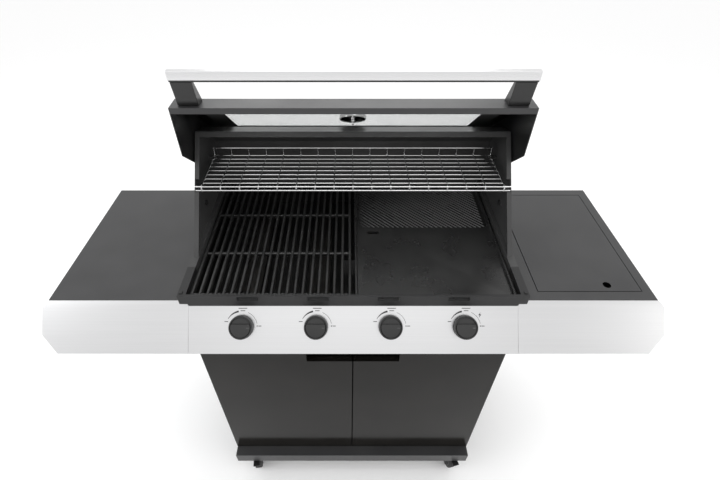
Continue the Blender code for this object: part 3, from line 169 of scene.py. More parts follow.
def coated(name, low, high, rough, grain, height, coat=0.0, cloud=9.0, specular=0.5):
    # painted, enamelled or moulded surface: cloudy tone, varied gloss and a fine grain
    material, tree, shader = newFinish(name)
    clouds = objectPattern(tree, (1, 1, 1), 3.0, cloud)
    spreadTone(tree, clouds, low, high, shader.inputs["Base Color"])
    fine = objectPattern(tree, (1, 1, 1), 6.0, grain)
    spreadValue(tree, clouds, rough[0], rough[1], shader.inputs["Roughness"])
    addBump(tree, fine, height, shader)
    shader.inputs["Coat Weight"].default_value = coat
    shader.inputs["Coat Roughness"].default_value = 0.04
    shader.inputs["Specular IOR Level"].default_value = specular
    return material


def brushed(name, low, high, rough, stretch, height):
    # bare metal with long brush lines along the mapping's least stretched axis
    material, tree, shader = newFinish(name)
    lines = objectPattern(tree, stretch, 5.0, 1.0)
    spreadTone(tree, lines, low, high, shader.inputs["Base Color"])
    spreadValue(tree, lines, rough[0], rough[1], shader.inputs["Roughness"])
    addBump(tree, lines, height, shader, 0.6)
    shader.inputs["Metallic"].default_value = 1.0
    return material


def clearGlass(name):
    material, tree, shader = newFinish(name)
    smudge = objectPattern(tree, (1, 1, 1), 5.0, 14.0)
    spreadTone(tree, smudge, (0.93, 0.945, 0.94), (0.97, 0.98, 0.975), shader.inputs["Base Color"])
    spreadValue(tree, smudge, 0.0, 0.03, shader.inputs["Roughness"])
    shader.inputs["Transmission Weight"].default_value = 1.0
    shader.inputs["IOR"].default_value = 1.45
    return material


finish = {
    "dark_paint": coated("satinDarkPaint", (0.026, 0.026, 0.027), (0.034, 0.034, 0.035), (0.36, 0.46), 1600,
                         0.00004),
    "gloss_enamel": coated("glossBlackEnamel", (0.006, 0.0057, 0.0054), (0.0085, 0.008, 0.0077), (0.13, 0.2),
                           340, 0.00002, specular=0.2),
    "cowl_enamel": coated("cowlEnamel", (0.044, 0.044, 0.044), (0.052, 0.052, 0.052), (0.34, 0.44), 700,
                          0.00003,
                          specular=0.3),
    "firebox_enamel": coated("matteFireboxEnamel", (0.006, 0.006, 0.006), (0.012, 0.0115, 0.011), (0.5, 0.68),
                             520, 0.00008),
    "stainless_panel": brushed("brushedStainless", (0.62, 0.62, 0.625), (0.65, 0.65, 0.655), (0.3, 0.36),
                               (3, 900, 900), 0.000004),
    "stainless_handle": brushed("brushedHandle", (0.685, 0.685, 0.69), (0.72, 0.72, 0.725), (0.26, 0.32),
                                (4, 1100, 1100), 0.000004),
    # dull aluminised coating, darkened well below bare aluminium as painted shade for the dark firebox under
    # the grill
    "aluminised": brushed("dullAluminisedAndShade", (0.3, 0.3, 0.305), (0.4, 0.4, 0.405), (0.42, 0.58),
                          (60, 60, 60), 0.00002),
    "fastener_steel": coated("blackenedSteel", (0.012, 0.012, 0.012), (0.02, 0.02, 0.02), (0.35, 0.5), 900,
                             0.00002),
    "black_rubber": coated("mattRubber", (0.012, 0.012, 0.012), (0.02, 0.02, 0.02), (0.62, 0.8), 900,
                           0.00008),
    "burner_steel": brushed("satinBurner", (0.13, 0.125, 0.12), (0.2, 0.19, 0.18), (0.4, 0.55),
                            (500, 12, 500), 0.00002),
    "valve_brass": brushed("machinedBrass", (0.62, 0.43, 0.17), (0.74, 0.55, 0.25), (0.22, 0.36),
                           (300, 300, 300), 0.00002),
    "window_glass": clearGlass("toughenedGlass"),
    "dial_steel": brushed("dialCase", (0.5, 0.5, 0.5), (0.62, 0.62, 0.62), (0.14, 0.24), (250, 250, 250),
                          0.00001),
    "black_plastic": coated("satinBlackPlastic", (0.010, 0.010, 0.010), (0.015, 0.015, 0.015), (0.3, 0.42),
                            2200, 0.00004),
    "cast_iron": coated("castGrill", (0.016, 0.016, 0.016), (0.026, 0.026, 0.0255), (0.34, 0.48), 650,
                        0.00012, cloud=25),
    "plate_iron": coated("satinPlate", (0.016, 0.016, 0.016), (0.021, 0.021, 0.0207), (0.25, 0.33), 800,
                         0.00003, cloud=12),
    "rack_chrome": brushed("brightWire", (0.78, 0.78, 0.78), (0.86, 0.86, 0.86), (0.06, 0.14),
                           (200, 200, 200), 0.00001),
    "zinc_steel": brushed("zincPressing", (0.42, 0.42, 0.43), (0.56, 0.56, 0.56), (0.28, 0.42), (90, 90, 90),
                          0.00002),
    "wheel_rubber": coated("wheelTread", (0.012, 0.012, 0.012), (0.022, 0.022, 0.022), (0.55, 0.72), 700,
                           0.0001),
}
# looks of single pieces that differ from their slot's
extra = {
    "fascia": brushed("brushedFascia", (0.62, 0.62, 0.625), (0.65, 0.65, 0.655), (0.3, 0.36), (3, 900, 900),
                      0.000004),
    # doors: gloss enamel, made darker than the shelves' satin paint; the extra darkness is painted shade for
    # the dimmer light on their front faces
    "doorShadedEnamel": coated("glossDoorEnamelPaintedShade", (0.0085, 0.0078, 0.007), (0.0115, 0.0105, 0.0095), (0.13, 0.2),
                         340, 0.00002, specular=0.11),
    # darker copy of the satin paint for the firebox lip and header rail: painted shade on these front faces
    "shadedDarkPaint": coated("satinPaintPaintedShade", (0.009, 0.009, 0.0094), (0.013, 0.013, 0.0134), (0.4, 0.5), 1600,
                        0.00004,
                        specular=0.4),
    "pointer": coated("knobPointer", (0.09, 0.09, 0.09), (0.13, 0.13, 0.13), (0.4, 0.5), 900, 0.00001),
    # hood's inner faces: black enamel, darkened further as painted shade inside the hood
    "hoodInside": coated("hoodInsideEnamelAndShade", (0.006, 0.006, 0.006), (0.01, 0.01, 0.01), (0.3, 0.42), 500,
                         0.00003),
    "print": coated("panelPrint", (0.012, 0.012, 0.012), (0.018, 0.018, 0.018), (0.4, 0.5), 900, 0.00001),
    "dialFace": coated("dialFace", (0.70, 0.70, 0.69), (0.76, 0.76, 0.75), (0.3, 0.4), 500, 0.00001),
    "needle": coated("dialNeedle", (0.45, 0.015, 0.01), (0.55, 0.02, 0.015), (0.3, 0.4), 500, 0.00001),
    "hub": coated("hubPlastic", (0.10, 0.10, 0.102), (0.14, 0.14, 0.142), (0.4, 0.5), 900, 0.00004),
}
print("finishes ready:", len(finish) + len(extra))


# ---- making and placing pieces
def addPiece(name, parts, material, body, stands=(), sharp=40):
    # parts is a list of (points, faces); each goes into one mesh, whose faces are shaded smooth
    points, faces, start = [], [], 0
    for partPoints, partFaces in parts:
        points.append(np.asarray(partPoints, float).reshape(-1, 3))
        faces += [tuple(int(i) + start for i in face) for face in partFaces]
        start += len(points[-1])
    mesh = bpy.data.meshes.new(name)
    mesh.from_pydata(np.concatenate(points).tolist(), [], faces)
    work = bmesh.new()
    work.from_mesh(mesh)
    bmesh.ops.remove_doubles(work, verts=work.verts, dist=1e-7)
    bmesh.ops.recalc_face_normals(work, faces=work.faces)
    work.to_mesh(mesh)
    work.free()
    mesh.shade_smooth()
    mesh.set_sharp_from_angle(angle=np.radians(sharp))
    piece = bpy.data.objects.new(name, mesh)
    bpy.context.scene.collection.objects.link(piece)
    mesh.materials.append(material)
    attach(piece, body)
    if stands:
        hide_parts(*stands)
    return piece


def gridFaces(rows, columns, closeRows=False, closeColumns=False):
    # quads between neighbouring points of a rows by columns grid, joined round where it closes
    i = np.arange(rows if closeRows else rows - 1)[:, None]
    j = np.arange(columns if closeColumns else columns - 1)[None, :]
    a = i * columns + j
    b = i * columns + (j + 1) % columns
    c = ((i + 1) % rows) * columns + (j + 1) % columns
    d = ((i + 1) % rows) * columns + j
    return np.stack([a, b, c, d], -1).reshape(-1, 4)


def carried(profile, path, ups, capped=True):
    # a closed profile (across, up) carried along a path: point = path + across * side + up * lift,
    # where side is the path's direction crossed with the given up vector
    profile = np.asarray(profile, float)
    path = np.asarray(path, float)
    ups = np.broadcast_to(np.asarray(ups, float), path.shape)
    along = np.gradient(path, axis=0)
    along /= np.linalg.norm(along, axis=1, keepdims=True)
    side = np.cross(along, ups)
    side /= np.linalg.norm(side, axis=1, keepdims=True)
    lift = np.cross(side, along)
    points = path[:, None] + profile[None, :, :1] * side[:, None] + profile[None, :, 1:2] * lift[:, None]
    faces = [tuple(f) for f in gridFaces(len(path), len(profile), closeColumns=True)]
    if capped:
        count = len(profile)
        faces.append(tuple(range(count)))
        faces.append(tuple(range((len(path) - 1) * count, len(path) * count)))
    return points.reshape(-1, 3), faces


def circle(radius, count=10):
    # points at equal angles round a circle
    angle = np.linspace(0, 2 * np.pi, count, endpoint=False)
    return np.stack([radius * np.cos(angle), radius * np.sin(angle)], -1)


def roundedBox(width, height, radius, steps=4):
    # rectangle outline whose four corners are quarter circles
    angle = np.linspace(0, np.pi / 2, steps)
    corner = np.stack([np.cos(angle), np.sin(angle)], -1) * radius
    outline = []
    for turn, (sx, sy) in enumerate(((1, 1), (-1, 1), (-1, -1), (1, -1))):
        spin = np.array([[0, -1], [1, 0]])
        rotated = corner @ np.linalg.matrix_power(spin, turn).T
        outline.append(rotated + [sx * (width / 2 - radius), sy * (height / 2 - radius)])
    return np.concatenate(outline)


def roundedPath(corners, radius, steps=5):
    # straight runs joined by curves: each corner is a quadratic curve between points a radius before and
    # after it
    corners = np.asarray(corners, float)
    path = [corners[0]]
    for before, corner, after in zip(corners[:-2], corners[1:-1], corners[2:]):
        start = corner + (before - corner) / np.linalg.norm(before - corner) * radius
        end = corner + (after - corner) / np.linalg.norm(after - corner) * radius
        t = np.linspace(0, 1, steps)[:, None]
        path += list((1 - t) ** 2 * start + 2 * t * (1 - t) * corner + t ** 2 * end)
    path.append(corners[-1])
    return np.array(path)


def turnedSurface(profile, place, axis, side, segments=48):
    # profile (radius, height) turned about an axis: point = place + axis * height + radius * (cos, sin)
    profile = np.asarray(profile, float)
    axis = np.asarray(axis, float) / np.linalg.norm(axis)
    side = np.asarray(side, float) - np.dot(side, axis) * axis
    side /= np.linalg.norm(side)
    other = np.cross(axis, side)
    angle = np.linspace(0, 2 * np.pi, segments, endpoint=False)
    ring = np.cos(angle)[:, None] * side + np.sin(angle)[:, None] * other
    points = (np.asarray(place, float) + profile[:, None, 1:2] * axis
              + np.maximum(profile[:, None, :1], 0) * ring[None])
    closed = bool(profile[0, 0] > 0)
    faces = [tuple(f) for f in gridFaces(len(profile), segments, closeRows=closed, closeColumns=True)]
    return points.reshape(-1, 3), faces


def refined(node, material, width=0.0005, steps=2, sharp=28):
    # the node's own shape, merged, with its flat faces joined and its edges rounded
    source = nodes[node]
    mesh = source.data.copy()
    mesh.name = node + "Fine"
    work = bmesh.new()
    work.from_mesh(mesh)
    bmesh.ops.remove_doubles(work, verts=work.verts, dist=2e-6)
    bmesh.ops.dissolve_limit(work, angle_limit=np.radians(0.6), verts=work.verts, edges=work.edges)
    work.to_mesh(mesh)
    work.free()
    if "custom_normal" in mesh.attributes:
        mesh.attributes.remove(mesh.attributes["custom_normal"])
    mesh.shade_smooth()
    piece = bpy.data.objects.new(node + "Fine", mesh)
    bpy.context.scene.collection.objects.link(piece)
    mesh.materials.clear()
    mesh.materials.append(material)
    bevel = piece.modifiers.new("edgeRounding", "BEVEL")
    bevel.width = width
    bevel.segments = steps
    bevel.limit_method = "ANGLE"
    bevel.angle_limit = np.radians(sharp)
    bevel.harden_normals = True
    bevel.use_clamp_overlap = True
    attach(piece, bodyOfNode[node])
    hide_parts(node)
    return piece


def boxOf(node):
    low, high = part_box(node)
    return np.array(low), np.array(high)


# ---- sheet parts: the frame's own shapes with their edges rounded
sheetFinishes = {
    "shelf_left": 0.0014, "shelf_right": 0.0009, "shelf_insert": 0.0008, "base_shelf": 0.0008,
    "side_panel_left": 0.0005, "side_panel_right": 0.0005, "back_panel": 0.0004, "header_rail": 0.0008,
    "door_left": 0.0012, "door_right": 0.0012, "drip_tray": 0.0006, "control_panel": 0.0008,
    "fascia_left": 0.0012, "fascia_right": 0.0012, "firebox": 0.0012, "firebox_front_lip": 0.0012,
    "cowl": 0.0007, "hood_shell": 0.0011, "window_frame": 0.0006, "handle_bracket_left": 0.0015,
    "handle_bracket_right": 0.0015, "flame_tamer_1": 0.0006, "flame_tamer_2": 0.0006,
    "caster_front_left_fork": 0.0008, "caster_front_right_fork": 0.0008, "caster_back_left_fork": 0.0008,
    "caster_back_right_fork": 0.0008, "caster_front_left_brake_lever": 0.0009,
    "caster_front_right_brake_lever": 0.0009,
}
otherFinish = {"fascia_left": "fascia", "fascia_right": "fascia", "firebox_front_lip": "shadedDarkPaint",
               "header_rail": "shadedDarkPaint", "door_left": "doorShadedEnamel", "door_right": "doorShadedEnamel"}
for node, width in sheetFinishes.items():
    refined(node, extra[otherFinish[node]] if node in otherFinish else finish[slotOfNode[node]], width)


insideLook = {"fromWall": 0.0008, "flat": 0.9, "under": (-0.3, -0.5)}


def paintInside(s, piece, material, outer):
    # faces on the inner side of the hood: side walls' inner faces and the underside of the sloping panel,
    # given the black inside enamel, darkened further as painted shade of the hood's hollow
    mesh = piece.data
    mesh.materials.append(material)
    count = len(mesh.polygons)
    centre, normal = np.zeros(count * 3), np.zeros(count * 3)
    mesh.polygons.foreach_get("center", centre)
    mesh.polygons.foreach_get("normal", normal)
    centre, normal = centre.reshape(-1, 3), normal.reshape(-1, 3)
    near = np.abs(centre[:, 0]) < outer - s["fromWall"]
    inner = (np.abs(normal[:, 0]) > s["flat"]) & near & (normal[:, 0] * centre[:, 0] < 0)
    under = (normal[:, 1] < s["under"][0]) & (normal[:, 2] < s["under"][1])
    mesh.polygons.foreach_set("material_index", (inner | under).astype(np.int32))


paintInside(insideLook, bpy.data.objects["hood_shellFine"], extra["hoodInside"], boxOf("hood_shell")[1][0])
print("sheet parts ready:", len(sheetFinishes))
for node, source in nodes.items():
    source.data.materials.clear()
    source.data.materials.append(finish[slotOfNode[node]])


# ---- cooking grill: round-topped bars on lower crossbars, with a notched front edge
grillLook = {
    "bars": 21, "barWidth": 0.0068, "barRound": 0.0028, "crossbars": (0.1577, 0.3216), "crossWidth": 0.0085,
    "crossDrop": 0.0045, "edgeWidth": 0.012, "edgeDrop": 0.0014, "tooth": (0.0062, 0.0075, 0.0016),
    "crossLift": 0.001, "crossRound": 0.002,
}


def barProfile(width, height, roundness, steps=6):
    # upright bar: straight sides tapering to the foot, with a half-round top of the given rise
    angle = np.linspace(0, np.pi, steps)
    top = np.stack([width / 2 * np.cos(angle), height - roundness + roundness * np.sin(angle)], -1)
    foot = np.array([[-0.36 * width, 0.0], [0.36 * width, 0.0]])
    return np.concatenate([top, foot])


def straightBar(start, end, profile, steps=2):
    t = np.linspace(0, 1, steps)[:, None]
    path = (1 - t) * np.asarray(start, float) + t * np.asarray(end, float)
    return carried(profile, path, (0, 0, 1))


def buildGrill(s):
    low, high = boxOf("cooking_grill")
    height = high[2] - low[2]
    parts = []
    centres = np.linspace(low[0] + s["barWidth"] / 2, high[0] - s["barWidth"] / 2, s["bars"])
    for x in centres:
        parts.append(straightBar((x, low[1], low[2]), (x, high[1], low[2]),
                                 barProfile(s["barWidth"], height, s["barRound"])))
    edges = low[1] + s["edgeWidth"] / 2, high[1] - s["edgeWidth"] / 2
    places = [edges[0]] + [low[1] + y for y in s["crossbars"]] + [edges[1]]
    level = low[2] + s["crossLift"]
    for number, y in enumerate(places):
        edge = number in (0, len(places) - 1)
        width = s["edgeWidth"] if edge else s["crossWidth"]
        drop = s["edgeDrop"] if edge else s["crossDrop"]
        parts.append(straightBar((low[0], y, level), (high[0], y, level),
                                 barProfile(width, height - drop - s["crossLift"], s["crossRound"])))
    # a short raised tooth between every two bars on the front and back edges
    wide, deep, rise = s["tooth"]
    for x in (centres[:-1] + centres[1:]) / 2:
        for y in edges:
            parts.append(straightBar((x, y - deep / 2, level), (x, y + deep / 2, level),
                                     barProfile(wide, height - s["crossLift"], rise)))
    return addPiece("grillCasting", parts, finish["cast_iron"], "grill", ["cooking_grill"])


buildGrill(grillLook)
print("grill ready")

# ---- hotplate: rounded rim, dished floor with diagonal ribs, one slot
plateLook = {
    "rim": 0.0052, "rimRound": 0.0018, "slot": (0.034, 0.011), "slotPlace": (0.036, 0.2405),
    "ribFront": 0.2675, "ribSide": 0.0115, "ribPitch": 0.0099, "ribWidth": 0.0042, "ribHeight": 0.0032,
    "ribAngle": 45.0, "floorHeight": 0.006, "ribMargin": 0.004,
}


def ringFaces(rings, count):
    return [tuple(f) for f in gridFaces(rings, count, closeColumns=True)]


def buildPlate(s):
    low, high = boxOf("hotplate")
    floor = low[2] + s["floorHeight"]
    centre = (low + high) / 2
    half = (high - low) / 2
    r = s["rimRound"]
    # rings from the underside out, up over the rim and down to the dished floor: (inset, height, corner)
    rings = [(0.006, low[2], 0.004), (0.0012, low[2], 0.006), (0, low[2] + 0.0012, 0.007),
             (0, high[2] - r, 0.007)]
    turn = np.linspace(0.2, np.pi / 2, 4)
    rings += [(r - r * np.cos(a), high[2] - r + r * np.sin(a), 0.007) for a in turn]
    rings += [(s["rim"] - r + r * np.sin(a), high[2] - r + r * np.cos(a), 0.006) for a in (0, 0.5, 1.0, 1.5)]
    rings += [(s["rim"] + 0.001, floor + 0.0022, 0.006), (s["rim"] + 0.0028, floor + 0.0004, 0.007),
              (s["rim"] + 0.005, floor, 0.008)]
    points = []
    for inset, z, corner in rings:
        outline = roundedBox(2 * (half[0] - inset), 2 * (half[1] - inset), corner, 6)
        points.append(np.column_stack([outline + centre[:2], np.full(len(outline), z)]))
    count = len(points[0])
    faces = ringFaces(len(rings), count)
    # floor and underside are filled round the slot: each ring point joins one of the slot's outline
    slotX = low[0] + s["slotPlace"][0] + s["slot"][0] / 2
    slotY = low[1] + s["slotPlace"][1] + s["slot"][1] / 2
    outline = roundedBox(s["slot"][0], s["slot"][1], s["slot"][1] * 0.48, 6) + [slotX, slotY]
    base = len(rings) * count
    points.append(np.column_stack([outline, np.full(count, floor)]))
    points.append(np.column_stack([outline, np.full(count, low[2])]))
    index = np.arange(count)
    after = (index + 1) % count
    last = (len(rings) - 1) * count
    faces += [tuple(f) for f in np.stack([last + index, last + after, base + after, base + index], -1)]
    faces += [tuple(f) for f in np.stack([base + index, base + after, base + count + after,
                                          base + count + index], -1)]
    faces += [tuple(f) for f in np.stack([base + count + index, base + count + after, after, index], -1)]
    plate = addPiece("hotplateCasting", [(np.concatenate(points), faces)], finish["plate_iron"], "plate",
                     ["hotplate"], sharp=30)
    # ribs: half-round bars at an angle, cut to the back part of the dish
    inner = s["rim"] + s["ribSide"]
    x0, x1 = low[0] + inner, high[0] - inner
    y0, y1 = low[1] + s["ribFront"], high[1] - inner
    angle = np.radians(s["ribAngle"])
    step = s["ribPitch"] / np.sin(angle)
    parts = []
    starts = np.arange(x0 - (y1 - y0) / np.tan(angle) + step, x1 - s["ribMargin"], step)
    for start in starts:
        # each rib runs down to the right from the back edge; its ends are clipped to the dish
        leftX, leftY = start, y1
        rightX, rightY = start + (y1 - y0) / np.tan(angle), y0
        if leftX < x0:
            leftX, leftY = x0, y1 - (x0 - start) * np.tan(angle)
        if rightX > x1:
            rightX, rightY = x1, y1 - (x1 - start) * np.tan(angle)
        if np.hypot(rightX - leftX, rightY - leftY) < 0.012:
            continue
        profile = barProfile(s["ribWidth"], s["ribHeight"] + 0.001, s["ribHeight"])
        parts.append(straightBar((leftX, leftY, floor - 0.001), (rightX, rightY, floor - 0.001), profile))
    addPiece("hotplateRibs", parts, finish["plate_iron"], "plate")
    return plate


buildPlate(plateLook)
print("hotplate ready")

# ---- warming rack: round wires, cross wires bent up at the back and down at the front
rackLook = {
    "wire": 0.0015, "frameWire": 0.0019, "gridHalf": 0.3995, "frontLevels": (0.0, -0.012), "longWires": 8,
    "firstLong": 0.0185, "crossWires": 17, "upstand": 0.025, "tail": 0.0155, "bend": 0.005, "reachIn": 0.0004,
    "frontGap": 0.0003, "frameZone": 0.01,
}


def buildRack(s):
    low, high = boxOf("warming_rack")
    level = high[2] - s["upstand"]
    half = s["gridHalf"]
    front = low[1] + s["frameWire"] + s["frontGap"]
    back = high[1] - s["frameWire"]
    top = high[2] - s["frameWire"]
    reach = high[0] - s["reachIn"]
    thin, thick = circle(s["wire"], 8), circle(s["frameWire"], 10)
    parts = []
    for x in np.linspace(-half + s["frameWire"], half - s["frameWire"], s["crossWires"]):
        outer = abs(x) > half - s["frameZone"]
        drop = min(s["tail"], level - low[2])
        corners = [(x, back, top), (x, back, level), (x, front, level), (x, front, level - drop)]
        parts.append(carried(thick if outer else thin, roundedPath(corners, s["bend"]), (1, 0, 0)))
    gap = (back - front - s["firstLong"]) / (s["longWires"] - 1)
    for k in range(s["longWires"]):
        y = back - k * gap
        parts.append(straightBar((-half, y, level - s["wire"]), (half, y, level - s["wire"]), thin))
    for lift in s["frontLevels"]:
        parts.append(straightBar((-reach, front, level + lift), (reach, front, level + lift), thick))
    parts.append(straightBar((-half, back, top), (half, back, top), thick))
    return addPiece("rackWires", parts, finish["rack_chrome"], "rack", ["warming_rack"],
                    sharp=60)


buildRack(rackLook)
print("rack ready")

# ---- hood handle: squared bar with rounded edges and ends
handleLook = {
    "edge": 0.0026, "end": 0.0012, "steps": 7, "underside": 0.003, "undersideInset": 0.0008, "lap": 0.001,
    "stripEdge": 0.0012, "stripEnd": 0.0008, "stripSteps": 4,
}


def softBar(low, high, edge, end, steps):
    # rectangle outline carried along X; near each end it shrinks by end * (1 - cos a)
    # as x advances by end * sin a
    centre = (low + high) / 2
    turn = np.linspace(np.pi / 2, 0, 5)
    rings = [(low[0] + end - end * np.sin(a), end - end * np.cos(a)) for a in turn]
    rings += [(high[0] - end + end * np.sin(a), end - end * np.cos(a)) for a in turn[::-1]]
    points = []
    for x, inset in rings:
        outline = roundedBox(high[1] - low[1] - 2 * inset, high[2] - low[2] - 2 * inset, edge - inset * 0.9,
                             steps)
        points.append(np.column_stack([np.full(len(outline), x), outline[:, 0] + centre[1],
                                       outline[:, 1] + centre[2]]))
    count = len(points[0])
    faces = ringFaces(len(rings), count)
    faces.append(tuple(range(count)))
    faces.append(tuple(range((len(rings) - 1) * count, len(rings) * count)))
    return np.concatenate(points), faces


def buildHandle(s):
    # bright channel over a black strip, painted shade for the shadow line along the handle's underside
    low, high = boxOf("hood_handle")
    split = np.array([low[0], low[1], low[2] + s["underside"]])
    addPiece("handleBar", [softBar(split, high, s["edge"], s["end"], s["steps"])],
             finish["stainless_handle"], "hood", ["hood_handle"])
    # the black strip under the bar stands in for the handle's shaded underside
    inset = np.array([s["undersideInset"] * 2, s["undersideInset"], 0])
    far = np.array([high[0], high[1], split[2] + s["lap"]]) - inset
    strip = softBar(low + inset, far, s["stripEdge"], s["stripEnd"], s["stripSteps"])
    addPiece("handleShadeStrip", [strip], finish["black_plastic"], "hood")


buildHandle(handleLook)
print("handle ready")

# ---- knobs: a fluted skirt with a raised rim, a sunk face and a grip bar lying across it
knobLook = {
    "radius": 0.0295, "standoff": 0.0036, "height": 0.0135, "face": 0.0252, "sink": 0.0045,
    "gripWidth": 0.0290, "gripShift": -0.0055, "gripEdge": 0.0014, "flutes": 44, "fluteDepth": 0.0003,
    "pointerFrom": 0.0150, "pointerTo": 0.0215, "pointerHalf": 0.0005, "pointerRise": 0.0001,
}


def knobSurface(s, place, axis):
    # turned profile (radius, height); its outer wall is fluted:
    # radius - depth * (0.5 - 0.5 cos(count * angle))
    base, top = s["standoff"], s["standoff"] + s["height"]
    r, f = s["radius"], s["face"]
    profile = np.array([
        (0.0, base), (r - 0.0012, base), (r - 0.0002, base + 0.0007), (r, base + 0.0018),
        (r - 0.0001, base + 0.004),
        (r - 0.0007, top - 0.0026), (r - 0.0011, top - 0.0014), (r - 0.0018, top - 0.0005),
        (r - 0.0028, top - 0.0006),
        (f + 0.0002, top - 0.0014), (f - 0.0006, top - s["sink"] + 0.0008), (f - 0.0014, top - s["sink"]),
        (0.0, top - s["sink"])])
    fluted = np.array([0, 0, 0, 0, 1, 1, 0.2, 0, 0, 0, 0, 0, 0])
    axis = np.asarray(axis, float)
    side = np.array([1.0, 0.0, 0.0])
    other = np.cross(axis, side)
    angle = np.linspace(0, 2 * np.pi, s["flutes"] * 4, endpoint=False)
    wave = s["fluteDepth"] * (0.5 - 0.5 * np.cos(s["flutes"] * angle))
    radius = np.maximum(profile[:, :1] - fluted[:, None] * wave[None], 0)
    ring = np.cos(angle)[:, None] * side + np.sin(angle)[:, None] * other
    points = np.asarray(place, float) + profile[:, None, 1:2] * axis + radius[..., None] * ring[None]
    return points.reshape(-1, 3), [tuple(f) for f in gridFaces(len(profile), len(angle), closeColumns=True)]


def gripOutline(s, inset):
    # circle of the face cut straight across above its middle, in points at equal angles
    reach = s["face"] - 0.0012 - inset
    level = s["gripWidth"] / 2 + s["gripShift"] - inset
    start = np.arcsin(level / reach)
    angle = np.linspace(np.pi - start, 2 * np.pi + start, 44)
    return np.stack([reach * np.cos(angle), reach * np.sin(angle)], -1)


def gripSurface(s, place, axis, low, high):
    # rounded outline across the face, shrinking towards the top by edge * (1 - cos a)
    axis = np.asarray(axis, float)
    side = np.array([1.0, 0.0, 0.0])
    other = np.cross(axis, side)
    edge = s["gripEdge"]
    turn = np.linspace(0, np.pi / 2, 5)
    rings = [(low, 0.0)] + [(high - edge + edge * np.sin(a), edge - edge * np.cos(a)) for a in turn]
    points = []
    for height, inset in rings:
        outline = gripOutline(s, inset)
        points.append(np.asarray(place, float) + outline[:, :1] * side
                      + outline[:, 1:] * other + height * axis)
    count = len(points[0])
    faces = ringFaces(len(rings), count)
    faces.append(tuple(range(count)))
    faces.append(tuple(range((len(rings) - 1) * count, len(rings) * count)))
    return np.concatenate(points), faces


def buildKnob(s, number):
    joint = jointOf[f"knob_{number}_turn"]
    place, axis = joint["pos_m"], joint["axis"]
    top = s["standoff"] + s["height"]
    body = knobSurface(s, place, axis)
    grip = gripSurface(s, place, axis, top - s["sink"] - 0.001, top)
    addPiece(f"knobBody{number}", [body, grip], finish["black_plastic"], f"knob_{number}",
             [f"knob_{number}"], sharp=32)
    # a short line moulded on the grip's end shows where the knob points
    axis = np.asarray(axis, float)
    side = np.array([1.0, 0.0, 0.0])
    middle = np.asarray(place, float) + axis * (top + 0.00001)
    t = np.linspace(0, 1, 2)[:, None]
    start, end = middle + side * s["pointerFrom"], middle + side * s["pointerTo"]
    half, rise = s["pointerHalf"], s["pointerRise"]
    outline = [(-half, -half), (half, -half), (half, rise), (-half, rise)]
    addPiece(f"knobPointer{number}", [carried(outline, (1 - t) * start + t * end, axis)], extra["pointer"],
             f"knob_{number}")


for number in range(1, 5):
    buildKnob(knobLook, number)
print("knobs ready")

# ---- generic dial marks printed on the control panel round each knob
markLook = {"lift": 0.00006, "ink": 0.0001, "radius": 0.0385, "steps": 26}


def ribbon(place, frameAxes, angles, radii, widths, s):
    # flat strip: centre line at radius(angle) round the axis, half its width to each side, ink thick
    side, up, axis = frameAxes
    direction = np.cos(angles)[:, None] * side + np.sin(angles)[:, None] * up
    inner = (radii - widths / 2)[:, None] * direction
    outer = (radii + widths / 2)[:, None] * direction
    lift, ink = s["lift"] * axis, (s["lift"] + s["ink"]) * axis
    points = np.stack([inner + lift, outer + lift, outer + ink, inner + ink], 1) + np.asarray(place, float)
    count = len(angles)
    faces = [tuple(f) for f in gridFaces(count, 4, closeColumns=True)]
    faces += [(0, 1, 2, 3), tuple(4 * (count - 1) + k for k in range(4))]
    return points.reshape(-1, 3), faces


def inkShape(place, frameAxes, corners, s):
    # flat polygon of ink through points given across and up
    side, up, axis = frameAxes
    flat = np.asarray(place, float) + np.array([a * side + b * up for a, b in corners])
    count = len(corners)
    points = np.concatenate([flat + s["lift"] * axis, flat + (s["lift"] + s["ink"]) * axis])
    faces = [tuple(range(count)), tuple(range(count, 2 * count))]
    faces += [(k, (k + 1) % count, count + (k + 1) % count, count + k) for k in range(count)]
    return points, faces


def inkBar(place, frameAxes, centre, width, height, s):
    x, y = centre
    corners = [(x - width / 2, y - height / 2), (x + width / 2, y - height / 2),
               (x + width / 2, y + height / 2),
               (x - width / 2, y + height / 2)]
    return inkShape(place, frameAxes, corners, s)


def buildMarks(s):
    parts = []
    across = np.array([1.0, 0.0, 0.0])
    for number in range(1, 5):
        joint = jointOf[f"knob_{number}_turn"]
        place, axis = joint["pos_m"], np.asarray(joint["axis"], float)
        axes = (across, np.cross(axis, across), axis)
        t = np.linspace(0, 1, s["steps"])
        radius = np.full(s["steps"], s["radius"])
        parts.append(ribbon(place, axes, np.radians(150 - 49 * t), radius, 0.0009 + 0.0036 * t, s))
        parts.append(ribbon(place, axes, np.radians(66 - 54 * t), radius, np.full(s["steps"], 0.0008), s))
        parts.append(inkBar(place, axes, (0.003, 0.0395), 0.0115, 0.0017, s))
        parts.append(inkBar(place, axes, (0.003, 0.0455), 0.021, 0.0017, s))
        parts.append(inkBar(place, axes, (-0.0375, 0.013), 0.009, 0.0016, s))
        parts.append(inkBar(place, axes, (0.0445, 0.002), 0.0075, 0.0017, s))
        parts.append(inkShape(place, axes, [(0.0355, 0.002), (0.0392, 0.0002), (0.0392, 0.0038)], s))
    bolt = [(0.0385, 0.036), (0.0330, 0.0285), (0.0365, 0.0285), (0.0345, 0.022), (0.0402, 0.0305),
            (0.0368, 0.0305)]
    parts.append(inkShape(place, axes, bolt, s))
    addPiece("panelMarks", parts, extra["print"], "frame")


buildMarks(markLook)
print("panel marks ready")

